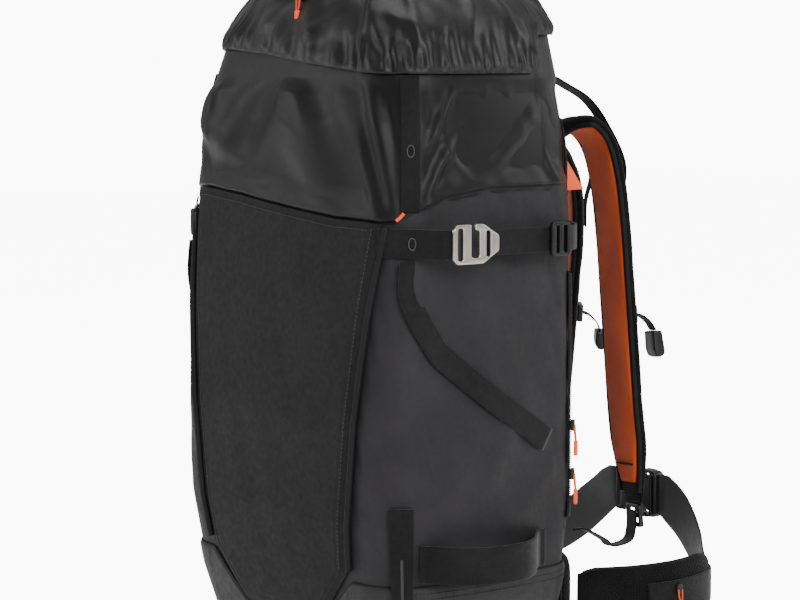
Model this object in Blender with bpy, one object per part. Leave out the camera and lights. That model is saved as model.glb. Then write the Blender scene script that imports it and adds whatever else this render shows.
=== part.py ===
"""Ski touring backpack, built as separate sewn, moulded and bent pieces.

Frame: metres, +Z up.  The wearer's back is on +Y, the stiff front panel on -Y and the
wearer's right hand on +X.  The pack stands on its base at Z = 0.  Lengths below are written
in millimetres and turned into metres where a mesh is made.
"""
import math

import bmesh
import bpy
import numpy as np
from mathutils import Matrix, Vector

MM = 0.001

# ---- driving dimensions, millimetres -------------------------------------------------
BAG_HEIGHT = 510.0          # base to the rim of the bag
BAG_WIDTH = 306.0           # widest, across the side walls
BAG_FRONT = 113.0           # frame origin to the front wall where it bulges most
BAG_BACK = 95.0             # frame origin to the back wall
BAG_WALL = 3.0              # shell cloth with its lining
SEAM_GAP = 0.4              # room between pieces that lie on each other

PANEL_TOP = 366.0           # top edge of the front panel
PANEL_SIDE_END = 84.0       # where its lower corners are cut off
PANEL_BOTTOM = 38.0
PANEL_TOP_WIDTH = 236.0
PANEL_LOW_WIDTH = 184.0
PANEL_END_WIDTH = 104.0
PANEL_THICK = 3.0

BASE_THICK = 2.0
BASE_SIDE_HEIGHT = 78.0

LID_HEM = 478.0             # lower edge of the lid's skirt
LID_HINGE_Z = 512.0
LID_RISE = 96.0             # hinge line to the crown of the lid
LID_WALL = 3.0
LID_LAP = 3.3               # the skirt stands this far outside the bag's wall

PAD_THICK = 18.0            # back padding
PAD_WIDTH = 236.0
PAD_TOP = 446.0
PAD_BOTTOM = 86.0
LUMBAR_THICK = 30.0

SHEET_THICK = 1.6           # frame sheet inside the bag
STAY_WIDTH = 20.0
STAY_THICK = 3.0

WEB = 20.0                  # narrow webbing
WEB_THICK = 1.6
HIP_WEB = 38.0              # hip belt webbing

STRAP_WIDTH = 60.0          # shoulder strap
STRAP_THICK = 12.0
STRAP_TOP_X = 75.0          # upper anchor, from the middle plane
STRAP_TOP_Z = 428.0
STRAP_LOW_X = 112.0         # lower anchor
STRAP_LOW_Z = 96.0
RIGHT_SWING = -20.0         # how each strap hangs, degrees towards the middle plane
LEFT_SWING = 36.0
RIGHT_REACH = 56.0          # how far each strap stands out behind the back padding
LEFT_REACH = 134.0

SKI_STRAP_Z = 348.0         # upper ski strap
SKI_STAND = 24.0            # how far its loop stands off the side wall
SKI_LOOP_Z = 97.0           # lower ski loop
SKI_LOOP_WEB = 30.0
SKI_LOOP_STAND = 36.0

HOOK_LENGTH = 46.0
HOOK_HEIGHT = 31.0
HOOK_THICK = 3.2
LADDER_LENGTH = 20.0
LADDER_HEIGHT = 27.0
LADDER_THICK = 4.0

WING_THICK = 14.0
WING_HEIGHT = 60.0
WING_FLOOR = 5.0

PIPING = 5.0                # ridge beside the front panel
CORNER_S = 1.575            # where the webbing at the front corners lies
ZIP_S = 3.42                # where the rear zip lies
ZIP_WIDTH = 9.0
ZIP_THICK = 1.2
ZIP_SEAT = 0.9              # from the side wall to the back of the zip tape
BACK_ZIP_LOW = 116.0
BACK_ZIP_TOP = 318.0
LID_ZIP_Z = 541.0
PULL_LENGTH = 22.0
TAG_Z = 394.0

HOOK_FRONT = -72.0          # front end of the hook buckle
SKI_WEB_RUN = 54.0          # webbing between hook and ladder-lock
CHANNEL = 26.0              # air channel down the back padding
LUMBAR_HALF = 116.0
HAUL_Z = 476.0
LIFTER_Z = 474.0            # upper end of the load lifters
STERNUM_Z = 272.0
WING_ROOT = (LUMBAR_HALF + 4.8, 112.0)
ROOT_ROOM = 0.9             # from the back padding to the line a strap swings about
ROOT_HALF = 0.8             # half width of webbing where it meets that line
SOCKET_LENGTH = 28.0
PLUG_LENGTH = 24.0

# ---- bag form: height share, width share, front share, back share, corner radius ------
BAG_LEVELS = (
    (0.000, 0.72, 0.60, 0.70, 40.0),
    (0.010, 0.82, 0.72, 0.84, 42.0),
    (0.035, 0.89, 0.82, 0.93, 42.0),
    (0.110, 0.94, 0.905, 0.985, 42.0),
    (0.240, 1.0, 0.985, 1.0, 44.0),
    (0.400, 1.0, 1.0, 1.0, 44.0),
    (0.560, 1.0, 0.965, 1.0, 44.0),
    (0.715, 0.993, 0.90, 1.0, 45.0),
    (0.860, 0.975, 0.885, 1.0, 50.0),
    (0.930, 0.92, 0.84, 1.0, 52.0),
    (1.000, 0.85, 0.77, 0.985, 50.0),
)
# ---- lid form, above its hinge: share of the rise, then as for the bag ----------------
LID_LEVELS = (
    (-0.36, 0.918, 0.840, 1.0, 52.0),
    (-0.18, 0.885, 0.808, 1.0, 51.0),
    (0.00, 0.853, 0.775, 1.0, 50.0),
    (0.20, 0.785, 0.69, 1.0, 48.0),
    (0.32, 0.735, 0.64, 0.985, 46.0),
    (0.54, 0.64, 0.54, 0.92, 42.0),
    (0.74, 0.52, 0.41, 0.82, 36.0),
    (0.90, 0.37, 0.24, 0.66, 28.0),
    (1.00, 0.19, 0.06, 0.44, 16.0),
)
CROWN = 5.0                 # how far the long walls bulge between their corners


# ---- colours: base colour, roughness, metallic ----------------------------------------
FINISHES = {
    "coated_cloth": ((0.030, 0.029, 0.031), 0.42, 0.0),
    "panel_cloth": ((0.033, 0.032, 0.033), 0.62, 0.0),
    "base_cloth": ((0.060, 0.058, 0.058), 0.55, 0.0),
    "webbing": ((0.022, 0.021, 0.022), 0.80, 0.0),
    "grey_webbing": ((0.045, 0.043, 0.043), 0.60, 0.0),
    "mesh_foam": ((0.018, 0.018, 0.019), 0.90, 0.0),
    "strap_lining": ((0.360, 0.085, 0.030), 0.85, 0.0),
    "plastic": ((0.012, 0.012, 0.013), 0.38, 0.0),
    "orange_trim": ((0.800, 0.120, 0.035), 0.50, 0.0),
    "hook_metal": ((0.620, 0.570, 0.510), 0.34, 1.0),
    "stay_metal": ((0.600, 0.600, 0.610), 0.40, 1.0),
    "frame_plastic": ((0.075, 0.075, 0.080), 0.45, 0.0),
}


def material(finish):
    """The Principled material of one finish, made once and shared."""
    if finish in bpy.data.materials:
        return bpy.data.materials[finish]
    colour, rough, metal = FINISHES[finish]
    made = bpy.data.materials.new(finish)
    made.use_nodes = True
    shader = made.node_tree.nodes["Principled BSDF"]
    shader.inputs["Base Color"].default_value = (*colour, 1.0)
    shader.inputs["Roughness"].default_value = rough
    shader.inputs["Metallic"].default_value = metal
    return made


# ---- mesh helpers ---------------------------------------------------------------------
def add(name, points, faces, finish, origin=(0.0, 0.0, 0.0)):
    """A new object from points in millimetres; its origin is at `origin`."""
    centre = np.array(origin, float)
    verts = (np.asarray(points, float) - centre) * MM
    mesh = bpy.data.meshes.new(name)
    mesh.from_pydata([tuple(v) for v in verts], [], [tuple(f) for f in faces])
    work = bmesh.new()
    work.from_mesh(mesh)
    bmesh.ops.remove_doubles(work, verts=work.verts, dist=1e-6)
    bmesh.ops.recalc_face_normals(work, faces=work.faces)
    work.to_mesh(mesh)
    work.free()
    mesh.shade_smooth()
    mesh.set_sharp_from_angle(angle=math.radians(35))
    made = bpy.data.objects.new(name, mesh)
    made.location = centre * MM
    made.data.materials.append(material(finish))
    bpy.context.collection.objects.link(made)
    return made


def ring_faces(rows, columns, closed_u=False, closed_v=False, start=0):
    """Quads of a grid of rows by columns, stored row by row from index `start`."""
    faces = []
    for i in range(rows if closed_u else rows - 1):
        for j in range(columns if closed_v else columns - 1):
            a, b = i, (i + 1) % rows
            c, d = j, (j + 1) % columns
            faces.append(tuple(start + k for k in
                               (a * columns + c, a * columns + d, b * columns + d, b * columns + c)))
    return faces


def loft(name, rings, finish, origin=(0.0, 0.0, 0.0)):
    """A closed solid through rings of equal length, capped at both ends."""
    rings = [list(r) for r in rings]
    columns = len(rings[0])
    points = [p for ring in rings for p in ring]
    faces = ring_faces(len(rings), columns, closed_v=True)
    faces.append(tuple(range(columns))[::-1])
    last = (len(rings) - 1) * columns
    faces.append(tuple(last + k for k in range(columns)))
    return add(name, points, faces, finish, origin)


def plate_between(name, inner, outer, finish, origin=(0.0, 0.0, 0.0)):
    """A closed solid between two grids of points (rows x columns x 3)."""
    inner, outer = np.asarray(inner, float), np.asarray(outer, float)
    rows, columns = inner.shape[:2]
    size = rows * columns
    points = np.vstack([inner.reshape(-1, 3), outer.reshape(-1, 3)])
    faces = ring_faces(rows, columns)
    faces += [tuple(size + k for k in f[::-1]) for f in ring_faces(rows, columns)]
    edge = [j for j in range(columns)]
    edge += [i * columns + columns - 1 for i in range(1, rows)]
    edge += [(rows - 1) * columns + j for j in range(columns - 2, -1, -1)]
    edge += [i * columns for i in range(rows - 2, 0, -1)]
    for a, b in zip(edge, edge[1:] + edge[:1]):
        faces.append((a, b, size + b, size + a))
    return add(name, points, faces, finish, origin)


def smooth(points, per_span=4):
    """A Catmull-Rom curve through the points, `per_span` steps between neighbours."""
    pts = np.asarray(points, float)
    ext = np.vstack([2 * pts[0] - pts[1], pts, 2 * pts[-1] - pts[-2]])
    out = []
    for i in range(1, len(ext) - 2):
        p0, p1, p2, p3 = ext[i - 1:i + 3]
        for step in range(per_span):
            t = step / per_span
            out.append(0.5 * (2 * p1 + (p2 - p0) * t + (2 * p0 - 5 * p1 + 4 * p2 - p3) * t ** 2
                              + (3 * p1 - p0 - 3 * p2 + p3) * t ** 3))
    out.append(pts[-1])
    return np.array(out)


def unit(vector):
    vector = np.asarray(vector, float)
    return vector / np.linalg.norm(vector)


def tangents(path):
    """Unit directions along a path of points."""
    path = np.asarray(path, float)
    step = np.gradient(path, axis=0)
    return step / np.linalg.norm(step, axis=1)[:, None]


def band_rings(path, across, width, thick, profile=4):
    """Cross-sections of a flat strip: rectangles, or rounded pads when profile is 8."""
    path = np.asarray(path, float)
    count = len(path)
    along = tangents(path)
    across = np.broadcast_to(np.asarray(across, float), path.shape)
    width = np.broadcast_to(np.asarray(width, float), (count,))
    thick = np.broadcast_to(np.asarray(thick, float), (count,))
    if profile == 4:
        shape = ((-0.5, -0.5), (0.5, -0.5), (0.5, 0.5), (-0.5, 0.5))
    else:
        shape = ((-0.5, -0.2), (-0.42, -0.5), (0.42, -0.5), (0.5, -0.2),
                 (0.5, 0.2), (0.42, 0.5), (-0.42, 0.5), (-0.5, 0.2))
    rings = []
    for p, t, w, size, depth in zip(path, along, across, width, thick):
        w = unit(w - t * float(np.dot(w, t)))
        n = np.cross(t, w)
        rings.append([p + w * (a * size) + n * (b * depth) for a, b in shape])
    return rings


def band(name, path, across, width, thick, finish, profile=4, origin=(0.0, 0.0, 0.0)):
    return loft(name, band_rings(path, across, width, thick, profile), finish, origin)


def closed_band(name, path, across, width, thick, finish, origin=(0.0, 0.0, 0.0)):
    """A strip whose path comes back to its start: a closed loop of webbing."""
    path = np.asarray(path, float)
    wrapped = np.vstack([path[-1], path, path[0]])
    rings = band_rings(wrapped, across, width, thick)[1:-1]
    points = [p for ring in rings for p in ring]
    return add(name, points, ring_faces(len(rings), 4, True, True), finish, origin)


def box(name, low, high, finish, bevel=0.0, origin=None):
    """A box between two corners, with its edges rounded over by `bevel`."""
    low, high = np.minimum(low, high), np.maximum(low, high)
    centre = (low + high) / 2 if origin is None else np.array(origin, float)
    corners = [(x, y, z) for x in (low[0], high[0]) for y in (low[1], high[1])
               for z in (low[2], high[2])]
    faces = ((0, 1, 3, 2), (4, 6, 7, 5), (0, 4, 5, 1), (2, 3, 7, 6), (0, 2, 6, 4), (1, 5, 7, 3))
    made = add(name, corners, faces, finish, centre)
    if bevel:
        soften(made, bevel)
    return made


def soften(made, width, segments=2, angle=35.0):
    """A Bevel modifier, width in millimetres."""
    edge = made.modifiers.new("edges", "BEVEL")
    edge.width = width * MM
    edge.segments = segments
    edge.limit_method = "ANGLE"
    edge.angle_limit = math.radians(angle)


def cut(made, cutter):
    """Takes the cutter's shape away from `made`."""
    cutter.hide_render = True
    cutter.display_type = "WIRE"
    trim = made.modifiers.new("cut_" + cutter.name, "BOOLEAN")
    trim.operation = "DIFFERENCE"
    trim.object = cutter


# ---- the bag's and the lid's forms ----------------------------------------------------
class Form:
    """A rounded-rectangle tube whose size changes with height.

    A place on it is (s, z): s runs 0 to 8 once round, a whole step for each wall and each
    corner, starting at the left end of the front wall and going by the right side.
    """

    def __init__(self, levels, base, rise):
        table = np.array(levels, float)
        self.heights = base + table[:, 0] * rise
        self.table = table[:, 1:]

    def size(self, z):
        width, front, back, radius = (np.interp(z, self.heights, self.table[:, k]) for k in range(4))
        return width * BAG_WIDTH / 2, front * BAG_FRONT, back * BAG_BACK, radius

    def at(self, s, z, out=0.0):
        """The point at (s, z), moved `out` millimetres off the surface."""
        half, front, back, radius = self.size(z)
        s = s % 8.0
        part, t = int(s), s - int(s)
        x, y = half - radius, None
        corner = math.pi / 2 * t
        bulge = CROWN * (1 - (2 * t - 1) ** 2)
        if part == 0:
            point, normal = (x * (2 * t - 1), -front - bulge), (0, -1)
        elif part == 2:
            y = -front + radius + t * (front + back - 2 * radius)
            point, normal = (half + bulge * 0.6, y), (1, 0)
        elif part == 4:
            point, normal = (x * (1 - 2 * t), back), (0, 1)
        elif part == 6:
            y = back - radius - t * (front + back - 2 * radius)
            point, normal = (-half - bulge * 0.6, y), (-1, 0)
        else:
            centre = {1: (x, -front + radius), 3: (x, back - radius),
                      5: (-x, back - radius), 7: (-x, -front + radius)}[part]
            turn = {1: -math.pi / 2, 3: 0.0, 5: math.pi / 2, 7: math.pi}[part] + corner
            normal = (math.cos(turn), math.sin(turn))
            point = (centre[0] + radius * normal[0], centre[1] + radius * normal[1])
        return np.array([point[0] + out * normal[0], point[1] + out * normal[1], z])

    def ring(self, z, out=0.0):
        return [self.at(s, z, out) for s in ROUND]

    def s_of_x(self, x, z):
        """The s on the front wall or its corners that lies at this x."""
        half, _, _, radius = self.size(z)
        flat = half - radius
        if abs(x) <= flat:
            return (x / flat + 1) / 2
        turn = math.asin(min(1.0, (abs(x) - flat) / radius)) / (math.pi / 2)
        return 1 + turn if x > 0 else -turn


BAG = Form(BAG_LEVELS, BASE_THICK + SEAM_GAP, BAG_HEIGHT - BASE_THICK - SEAM_GAP)
LID = Form(LID_LEVELS, LID_HINGE_Z, LID_RISE)
ROUND = np.concatenate([
    np.linspace(0, 1, 13)[:-1], np.linspace(1, 2, 6)[:-1], np.linspace(2, 3, 5)[:-1],
    np.linspace(3, 4, 6)[:-1], np.linspace(4, 5, 5)[:-1], np.linspace(5, 6, 6)[:-1],
    np.linspace(6, 7, 5)[:-1], np.linspace(7, 8, 6)[:-1]])


def shell(name, outer, inner, finish, origin=(0.0, 0.0, 0.0)):
    """A cup: rings from the closed end to the rim outside, and back down inside."""
    rings = list(outer) + list(inner)[::-1]
    return loft(name, rings, finish, origin)


def patch(name, form, s_range, z_range, inner, outer, finish, across=7, up=7):
    """A piece that lies on a form, between two offsets.

    s_range gives the two s ends at a height and z_range the two heights.
    """
    low, high = z_range
    grids = []
    for offset in (inner, outer):
        grid = []
        for z in np.linspace(low, high, up):
            left, right = s_range(z)
            grid.append([form.at(s, z, offset) for s in np.linspace(left, right, across)])
        grids.append(grid)
    return plate_between(name, grids[0], grids[1], finish)


SIDES = (("right", 1), ("left", -1))
UP = (0.0, 0.0, 1.0)


def on_side(points, side):
    """Points given for the right side, taken to the side asked for."""
    return np.asarray(points, float) * (side, 1.0, 1.0)


# ---- bag ------------------------------------------------------------------------------
def bag_heights():
    return np.unique(np.concatenate([BAG.heights, np.linspace(60, BAG_HEIGHT - 30, 8)]))


def make_bag():
    heights = bag_heights()
    outer = [BAG.ring(z) for z in heights]
    inner = [BAG.ring(z, -BAG_WALL) for z in heights[1:]]
    inner[0] = [np.array([p[0], p[1], heights[0] + BAG_WALL]) for p in inner[0]]
    shell("main_bag", outer, inner, "coated_cloth")


def panel_half(z):
    """Half width of the front panel at a height: a taper, then cut-off lower corners."""
    if z >= PANEL_SIDE_END:
        share = (z - PANEL_SIDE_END) / (PANEL_TOP - PANEL_SIDE_END)
        return (PANEL_LOW_WIDTH + share * (PANEL_TOP_WIDTH - PANEL_LOW_WIDTH)) / 2
    share = (z - PANEL_BOTTOM) / (PANEL_SIDE_END - PANEL_BOTTOM)
    return (PANEL_END_WIDTH + share * (PANEL_LOW_WIDTH - PANEL_END_WIDTH)) / 2


def make_front_panel():
    heights = np.concatenate([np.linspace(PANEL_BOTTOM, PANEL_SIDE_END, 4),
                              np.linspace(PANEL_SIDE_END, PANEL_TOP, 10)[1:]])
    grids = []
    for offset in (0.9, 0.9 + PANEL_THICK):
        grid = []
        for z in heights:
            half = panel_half(z)
            grid.append([BAG.at(BAG.s_of_x(x, z), z, offset) for x in np.linspace(-half, half, 13)])
        grids.append(grid)
    plate_between("front_panel", grids[0], grids[1], "panel_cloth")


def base_top(s):
    """Height of the base's upper edge round the bag: it dips under the front panel."""
    z = PANEL_SIDE_END - 4
    x = abs(BAG.at(s, z)[0])
    is_front = BAG.at(s, z)[1] < 0 and not 2 <= s % 8 <= 7
    if not is_front or x > PANEL_LOW_WIDTH / 2 + 4:
        return BASE_SIDE_HEIGHT
    share = np.clip((x - PANEL_END_WIDTH / 2) / ((PANEL_LOW_WIDTH - PANEL_END_WIDTH) / 2 + 4), 0, 1)
    return PANEL_BOTTOM - 4 + share * (BASE_SIDE_HEIGHT - PANEL_BOTTOM + 4)


def make_base():
    """A tray under the bag and up its lower walls."""
    start, curl, knee, side = BAG.heights[:4]

    def ring(step, out):
        """One ring: the bag's own levels low down, then half way and the top edge."""
        points = []
        for s in ROUND:
            top = base_top(s)
            middle = side if top > side + 4 else (knee + top) / 2
            points.append(BAG.at(s, (start, curl, knee, middle, top)[step], out))
        return points

    floor = [np.array([p[0], p[1], 0.0]) for p in BAG.ring(start, BASE_THICK + 0.8)]
    outer = [floor] + [ring(step, BASE_THICK + 0.8) for step in range(1, 5)]
    inner_floor = [np.array([p[0], p[1], start - SEAM_GAP]) for p in BAG.ring(start, 0.8)]
    inner = [inner_floor] + [ring(step, 0.8) for step in range(1, 5)]
    shell("base_panel", outer, inner, "base_cloth")


# ---- lid ------------------------------------------------------------------------------
def make_lid():
    """A domed cap with a skirt; the skirt is cut away behind so that the cap can swing."""
    heights = np.unique(np.concatenate([[LID_HEM], LID.heights[LID.heights > LID_HEM]]))
    outer = [LID.ring(z, LID_LAP) for z in heights][::-1]
    inner = [LID.ring(z, LID_LAP - LID_WALL) for z in heights[:-1]]
    roof = [np.array([p[0], p[1], heights[-1] - LID_WALL]) for p in LID.ring(heights[-1], -2.0)]
    inner = ([roof] + inner[::-1])
    lid = loft("lid", outer + inner[::-1], "coated_cloth",
               (0.0, BAG_BACK + 4.0, LID_HINGE_Z))
    cutter = box("lid_back_cut", (-200, BAG_BACK - 46, LID_HEM - 20), (200, BAG_BACK + 40, LID_HINGE_Z + 1),
                 "coated_cloth")
    cut(lid, cutter)
    return lid


def make_lid_liner():
    """The sheet that closes the lid pocket underneath."""
    low = LID_HINGE_Z + 4.0
    inside = LID_LAP - LID_WALL - SEAM_GAP
    loft("lid_liner", [LID.ring(low, inside), LID.ring(low + 2.0, inside)], "coated_cloth")


def make_lid_zip():
    z = LID_ZIP_Z
    track = (LID_LAP + SEAM_GAP, LID_LAP + SEAM_GAP + ZIP_THICK)
    patch("lid_zip", LID, lambda _: (0.08, 0.92), (z - ZIP_WIDTH / 2, z + ZIP_WIDTH / 2),
          *track, "webbing", across=9, up=2)
    down = unit(LID.at(0.5, z - 6) - LID.at(0.5, z + 6))
    out = np.cross(down, (1.0, 0.0, 0.0))
    slider("lid_zip_slider", LID.at(0.5, z, track[1]) + out * 0.8, out, down)


def slider(name, seat, out, hang):
    """A zip slider with its moulded pull: a body on the track and a tab that hangs from it."""
    seat, out, hang = (np.asarray(v, float) for v in (seat, out, hang))
    side = unit(np.cross(out, hang))
    outline = ((0.0, -5.0), (4.0, -5.0), (4.0, 4.0), (2.6, 6.0), (3.4, PULL_LENGTH), (1.2, PULL_LENGTH),
               (0.8, 6.5), (0.0, 5.0))
    rings = [[seat + out * a + hang * b + side * w for a, b in outline] for w in (-3.0, 3.0)]
    made = loft(name, rings, "orange_trim", seat)
    soften(made, 0.5, 1)
    return made


# ---- webbing on the bag ---------------------------------------------------------------
def arc_span(form, s, z, length):
    """How much s covers `length` millimetres of a corner."""
    return length / (math.pi / 2 * form.size(z)[3])


def surface_path(points, out, side=1):
    """Points (s, z) on the bag's wall, given for the right side."""
    return [on_side(BAG.at(s, z, out), side) for s, z in points]


def surface_band(name, points, width, thick, finish, side=1, out=None, per_span=4):
    """Webbing that lies flat on the bag's wall along a path of (s, z)."""
    centre = (SEAM_GAP + 0.5 if out is None else out) + thick / 2
    fine = smooth([(s, z, 0.0) for s, z in points], per_span)
    path = np.array([BAG.at(s, z, centre) for s, z, _ in fine])
    lifted = np.array([BAG.at(s, z, centre + 1.0) for s, z, _ in fine])
    across = np.cross(lifted - path, tangents(path))
    return band(name, path * (side, 1, 1), across * (side, 1, 1), width, thick, finish)


def make_side_webbing():
    for word, side in SIDES:
        surface_band("corner_strip_" + word, ((CORNER_S, PANEL_TOP + 4), (CORNER_S, 420), (CORNER_S, LID_HEM - 4)),
                     WEB, WEB_THICK, "webbing", side)
        low = SKI_STRAP_Z - 14.0
        surface_band("compression_" + word,
                     ((1.60, low), (1.63, low - 28), (1.90, low - 62), (2.30, low - 98), (2.70, low - 130),
                      (2.96, low - 150)), WEB, WEB_THICK, "webbing", side)


def make_piping():
    """The rounded ridge beside the front panel."""
    for word, side in SIDES:
        path = []
        for z in np.linspace(PANEL_SIDE_END + 4, PANEL_TOP, 12):
            x = panel_half(z) + PIPING / 2 + 1.2
            path.append(on_side(BAG.at(BAG.s_of_x(x, z), z, PIPING / 2 + 1.1), side))
        band("panel_piping_" + word, path, (1.0, 0.0, 0.0), PIPING, PIPING, "panel_cloth", profile=8)


def make_ski_straps():
    """Upper loops that hold the skis: tab, hook, webbing, ladder-lock and anchor on each side."""
    plane = BAG_WIDTH / 2 + SKI_STAND
    z = SKI_STRAP_Z
    tab_thick = 2 * WEB_THICK
    tab_x = plane - HOOK_THICK / 2 - SEAM_GAP - tab_thick / 2
    web_x = plane - HOOK_THICK / 2 - SEAM_GAP - WEB_THICK / 2
    ladder_x = web_x + WEB_THICK / 2 + SEAM_GAP + LADDER_THICK / 2
    for word, side in SIDES:
        root = surface_path(((1.28, z), (1.35, z), (1.42, z)), tab_thick / 2 + 1.0)
        rise = [(BAG_WIDTH / 2 - 1, -84, z), (tab_x - 4, HOOK_FRONT - 6, z), (tab_x, HOOK_FRONT, z),
                (tab_x, HOOK_FRONT + 9, z)]
        band("ski_tab_" + word, on_side(smooth(root + rise, 3), side), UP, WEB + 3, tab_thick, "webbing")
        make_hook("hook_buckle_" + word, (plane * side, HOOK_FRONT + 1, z))
        far = HOOK_FRONT + HOOK_LENGTH + 1
        ladder_y = far + SKI_WEB_RUN
        band("ski_strap_" + word, on_side([(web_x, far - 9, z), (web_x, far + 20, z), (web_x, ladder_y + 8, z)], side),
             UP, WEB, WEB_THICK, "webbing")
        make_ladder("ski_ladder_" + word, (ladder_x * side, ladder_y + LADDER_LENGTH / 2, z))
        last = surface_path(((3.62, z), (3.72, z), (3.80, z)), WEB_THICK / 2 + 0.8)
        run = [(web_x, ladder_y + 12, z), (web_x - 1, ladder_y + 26, z), (web_x - 16, ladder_y + 44, z)]
        band("ski_anchor_" + word, on_side(smooth(run + last, 3), side), UP, WEB, WEB_THICK, "webbing")


def make_hook(name, corner):
    """A flat hook buckle: a plate with a pointed end, two webbing slots and an open throat."""
    x, y, z = corner
    half = HOOK_HEIGHT / 2
    outline = ((0, -half + 4), (4, -half), (30, -half), (38, -half + 5), (HOOK_LENGTH, -6),
               (HOOK_LENGTH, 6), (38, half - 5), (30, half), (4, half), (0, half - 4))
    rings = [[(x + t, y + a, z + b) for a, b in outline] for t in (-HOOK_THICK / 2, HOOK_THICK / 2)]
    made = loft(name, rings, "hook_metal", (x - math.copysign(HOOK_THICK / 2, x), y, z))
    for tag, low, high, width in (("tab", 4.5, 9.5, WEB + 5), ("throat", 18.0, 26.0, HOOK_HEIGHT - 10),
                                  ("web", 33.0, 37.0, WEB)):
        cut(made, box(name + "_" + tag, (x - 9, y + low, z - width / 2), (x + 9, y + high, z + width / 2),
                      "hook_metal"))
    cut(made, box(name + "_mouth", (x - 9, y + 18.0, z + HOOK_HEIGHT / 2 - 6), (x + 9, y + 21.5, z + HOOK_HEIGHT),
                  "hook_metal"))
    soften(made, 0.5, 1)
    return made


def make_ladder(name, centre, across=UP, along=(0.0, 1.0, 0.0), origin=None):
    """A ladder-lock: a plate with two slots and three bars."""
    centre, across, along = (np.asarray(v, float) for v in (centre, across, along))
    out = unit(np.cross(along, across))
    half = LADDER_HEIGHT / 2
    length = LADDER_LENGTH / 2
    outline = ((-length, -half + 2), (-length + 3, -half), (length - 3, -half), (length, -half + 2),
               (length, half - 2), (length - 3, half), (-length + 3, half), (-length, half - 2))
    rings = [[centre + out * t + along * a + across * b for a, b in outline]
             for t in (-LADDER_THICK / 2, LADDER_THICK / 2)]
    made = loft(name, rings, "plastic", centre if origin is None else origin)
    width = (WEB + 1.5) / 2
    for tag, middle in (("slot_a", -4.2), ("slot_b", 4.2)):
        ring = [[centre + out * t + along * (middle + a) + across * b
                 for a, b in ((-2, -width), (2, -width), (2, width), (-2, width))] for t in (-9, 9)]
        cut(made, loft(name + "_" + tag, ring, "plastic"))
    return made


def make_ski_loops():
    """Lower loops that the ski tails drop into, and the ice-axe loop on the right."""
    z = SKI_LOOP_Z
    stand = SKI_LOOP_STAND
    shape = ((1.77, 4.3), (1.84, 5.0), (1.94, 0.36 * stand), (2.04, 0.70 * stand), (2.18, 0.94 * stand),
             (2.36, stand), (2.54, 0.94 * stand), (2.68, 0.70 * stand), (2.79, 0.36 * stand), (2.88, 5.0),
             (2.94, 4.3))
    fine = smooth([(s, out, 0.0) for s, out in shape], 2)
    for word, side in SIDES:
        path = [BAG.at(s, z, max(out, 4.3)) for s, out, _ in fine]
        band("ski_loop_" + word, on_side(path, side), UP, SKI_LOOP_WEB, WEB_THICK + 0.8, "webbing")
    path = [BAG.at(CORNER_S, height, out) for height, out in
            ((142, 2.6), (120, 2.6), (98, 3.4), (80, 6.0), (60, 8.0), (36, 9.0))]
    normal = BAG.at(CORNER_S, 90, 1.0) - BAG.at(CORNER_S, 90)
    band("ice_axe_loop", smooth(path, 3), np.cross(normal, UP), np.linspace(WEB, WEB - 5, 16), 3.0, "webbing")


# ---- back system ----------------------------------------------------------------------
def make_back():
    back = BAG_BACK + 0.6
    pad = box("back_pad", (-PAD_WIDTH / 2, back, PAD_BOTTOM), (PAD_WIDTH / 2, back + PAD_THICK, PAD_TOP), "mesh_foam")
    cut(pad, box("air_channel", (-CHANNEL / 2, back + PAD_THICK - 8, PAD_BOTTOM - 9),
                 (CHANNEL / 2, back + PAD_THICK + 9, PAD_TOP + 9), "mesh_foam"))
    soften(pad, 5.0)
    low = back + BASE_THICK - SEAM_GAP
    lumbar = box("lumbar_pad", (-LUMBAR_HALF, low, 12), (LUMBAR_HALF, low + LUMBAR_THICK, PAD_BOTTOM - 4), "mesh_foam")
    soften(lumbar, 7.0)
    inner = BAG_BACK - BAG_WALL - SEAM_GAP
    foot = BAG.heights[4] + 1.8
    box("frame_sheet", (-84, inner - SHEET_THICK, foot), (84, inner, 470), "frame_plastic")
    face = inner - SHEET_THICK - SEAM_GAP
    for word, side in SIDES:
        box("frame_stay_" + word, (side * 45 - STAY_WIDTH / 2, face - STAY_THICK, 134),
            (side * 45 + STAY_WIDTH / 2, face, 462), "stay_metal")


def make_haul_loop():
    half, reach, z = 30.0, 34.0, HAUL_Z
    wall = BAG_BACK + 0.8
    path = smooth([(-half, wall, z), (-half, wall + 8, z), (-half + 3, wall + 19, z - 3),
                   (-half + 14, wall + reach - 4, z - 7), (half - 14, wall + reach - 4, z - 7),
                   (half - 3, wall + 19, z - 3), (half, wall + 8, z), (half, wall, z)], 3)
    width = np.minimum(WEB - 2, 1.0 + 2 * (np.asarray(path)[:, 1] - wall))
    band("haul_loop", path, UP, width, 2.4, "webbing", origin=(0.0, wall, z))


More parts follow.
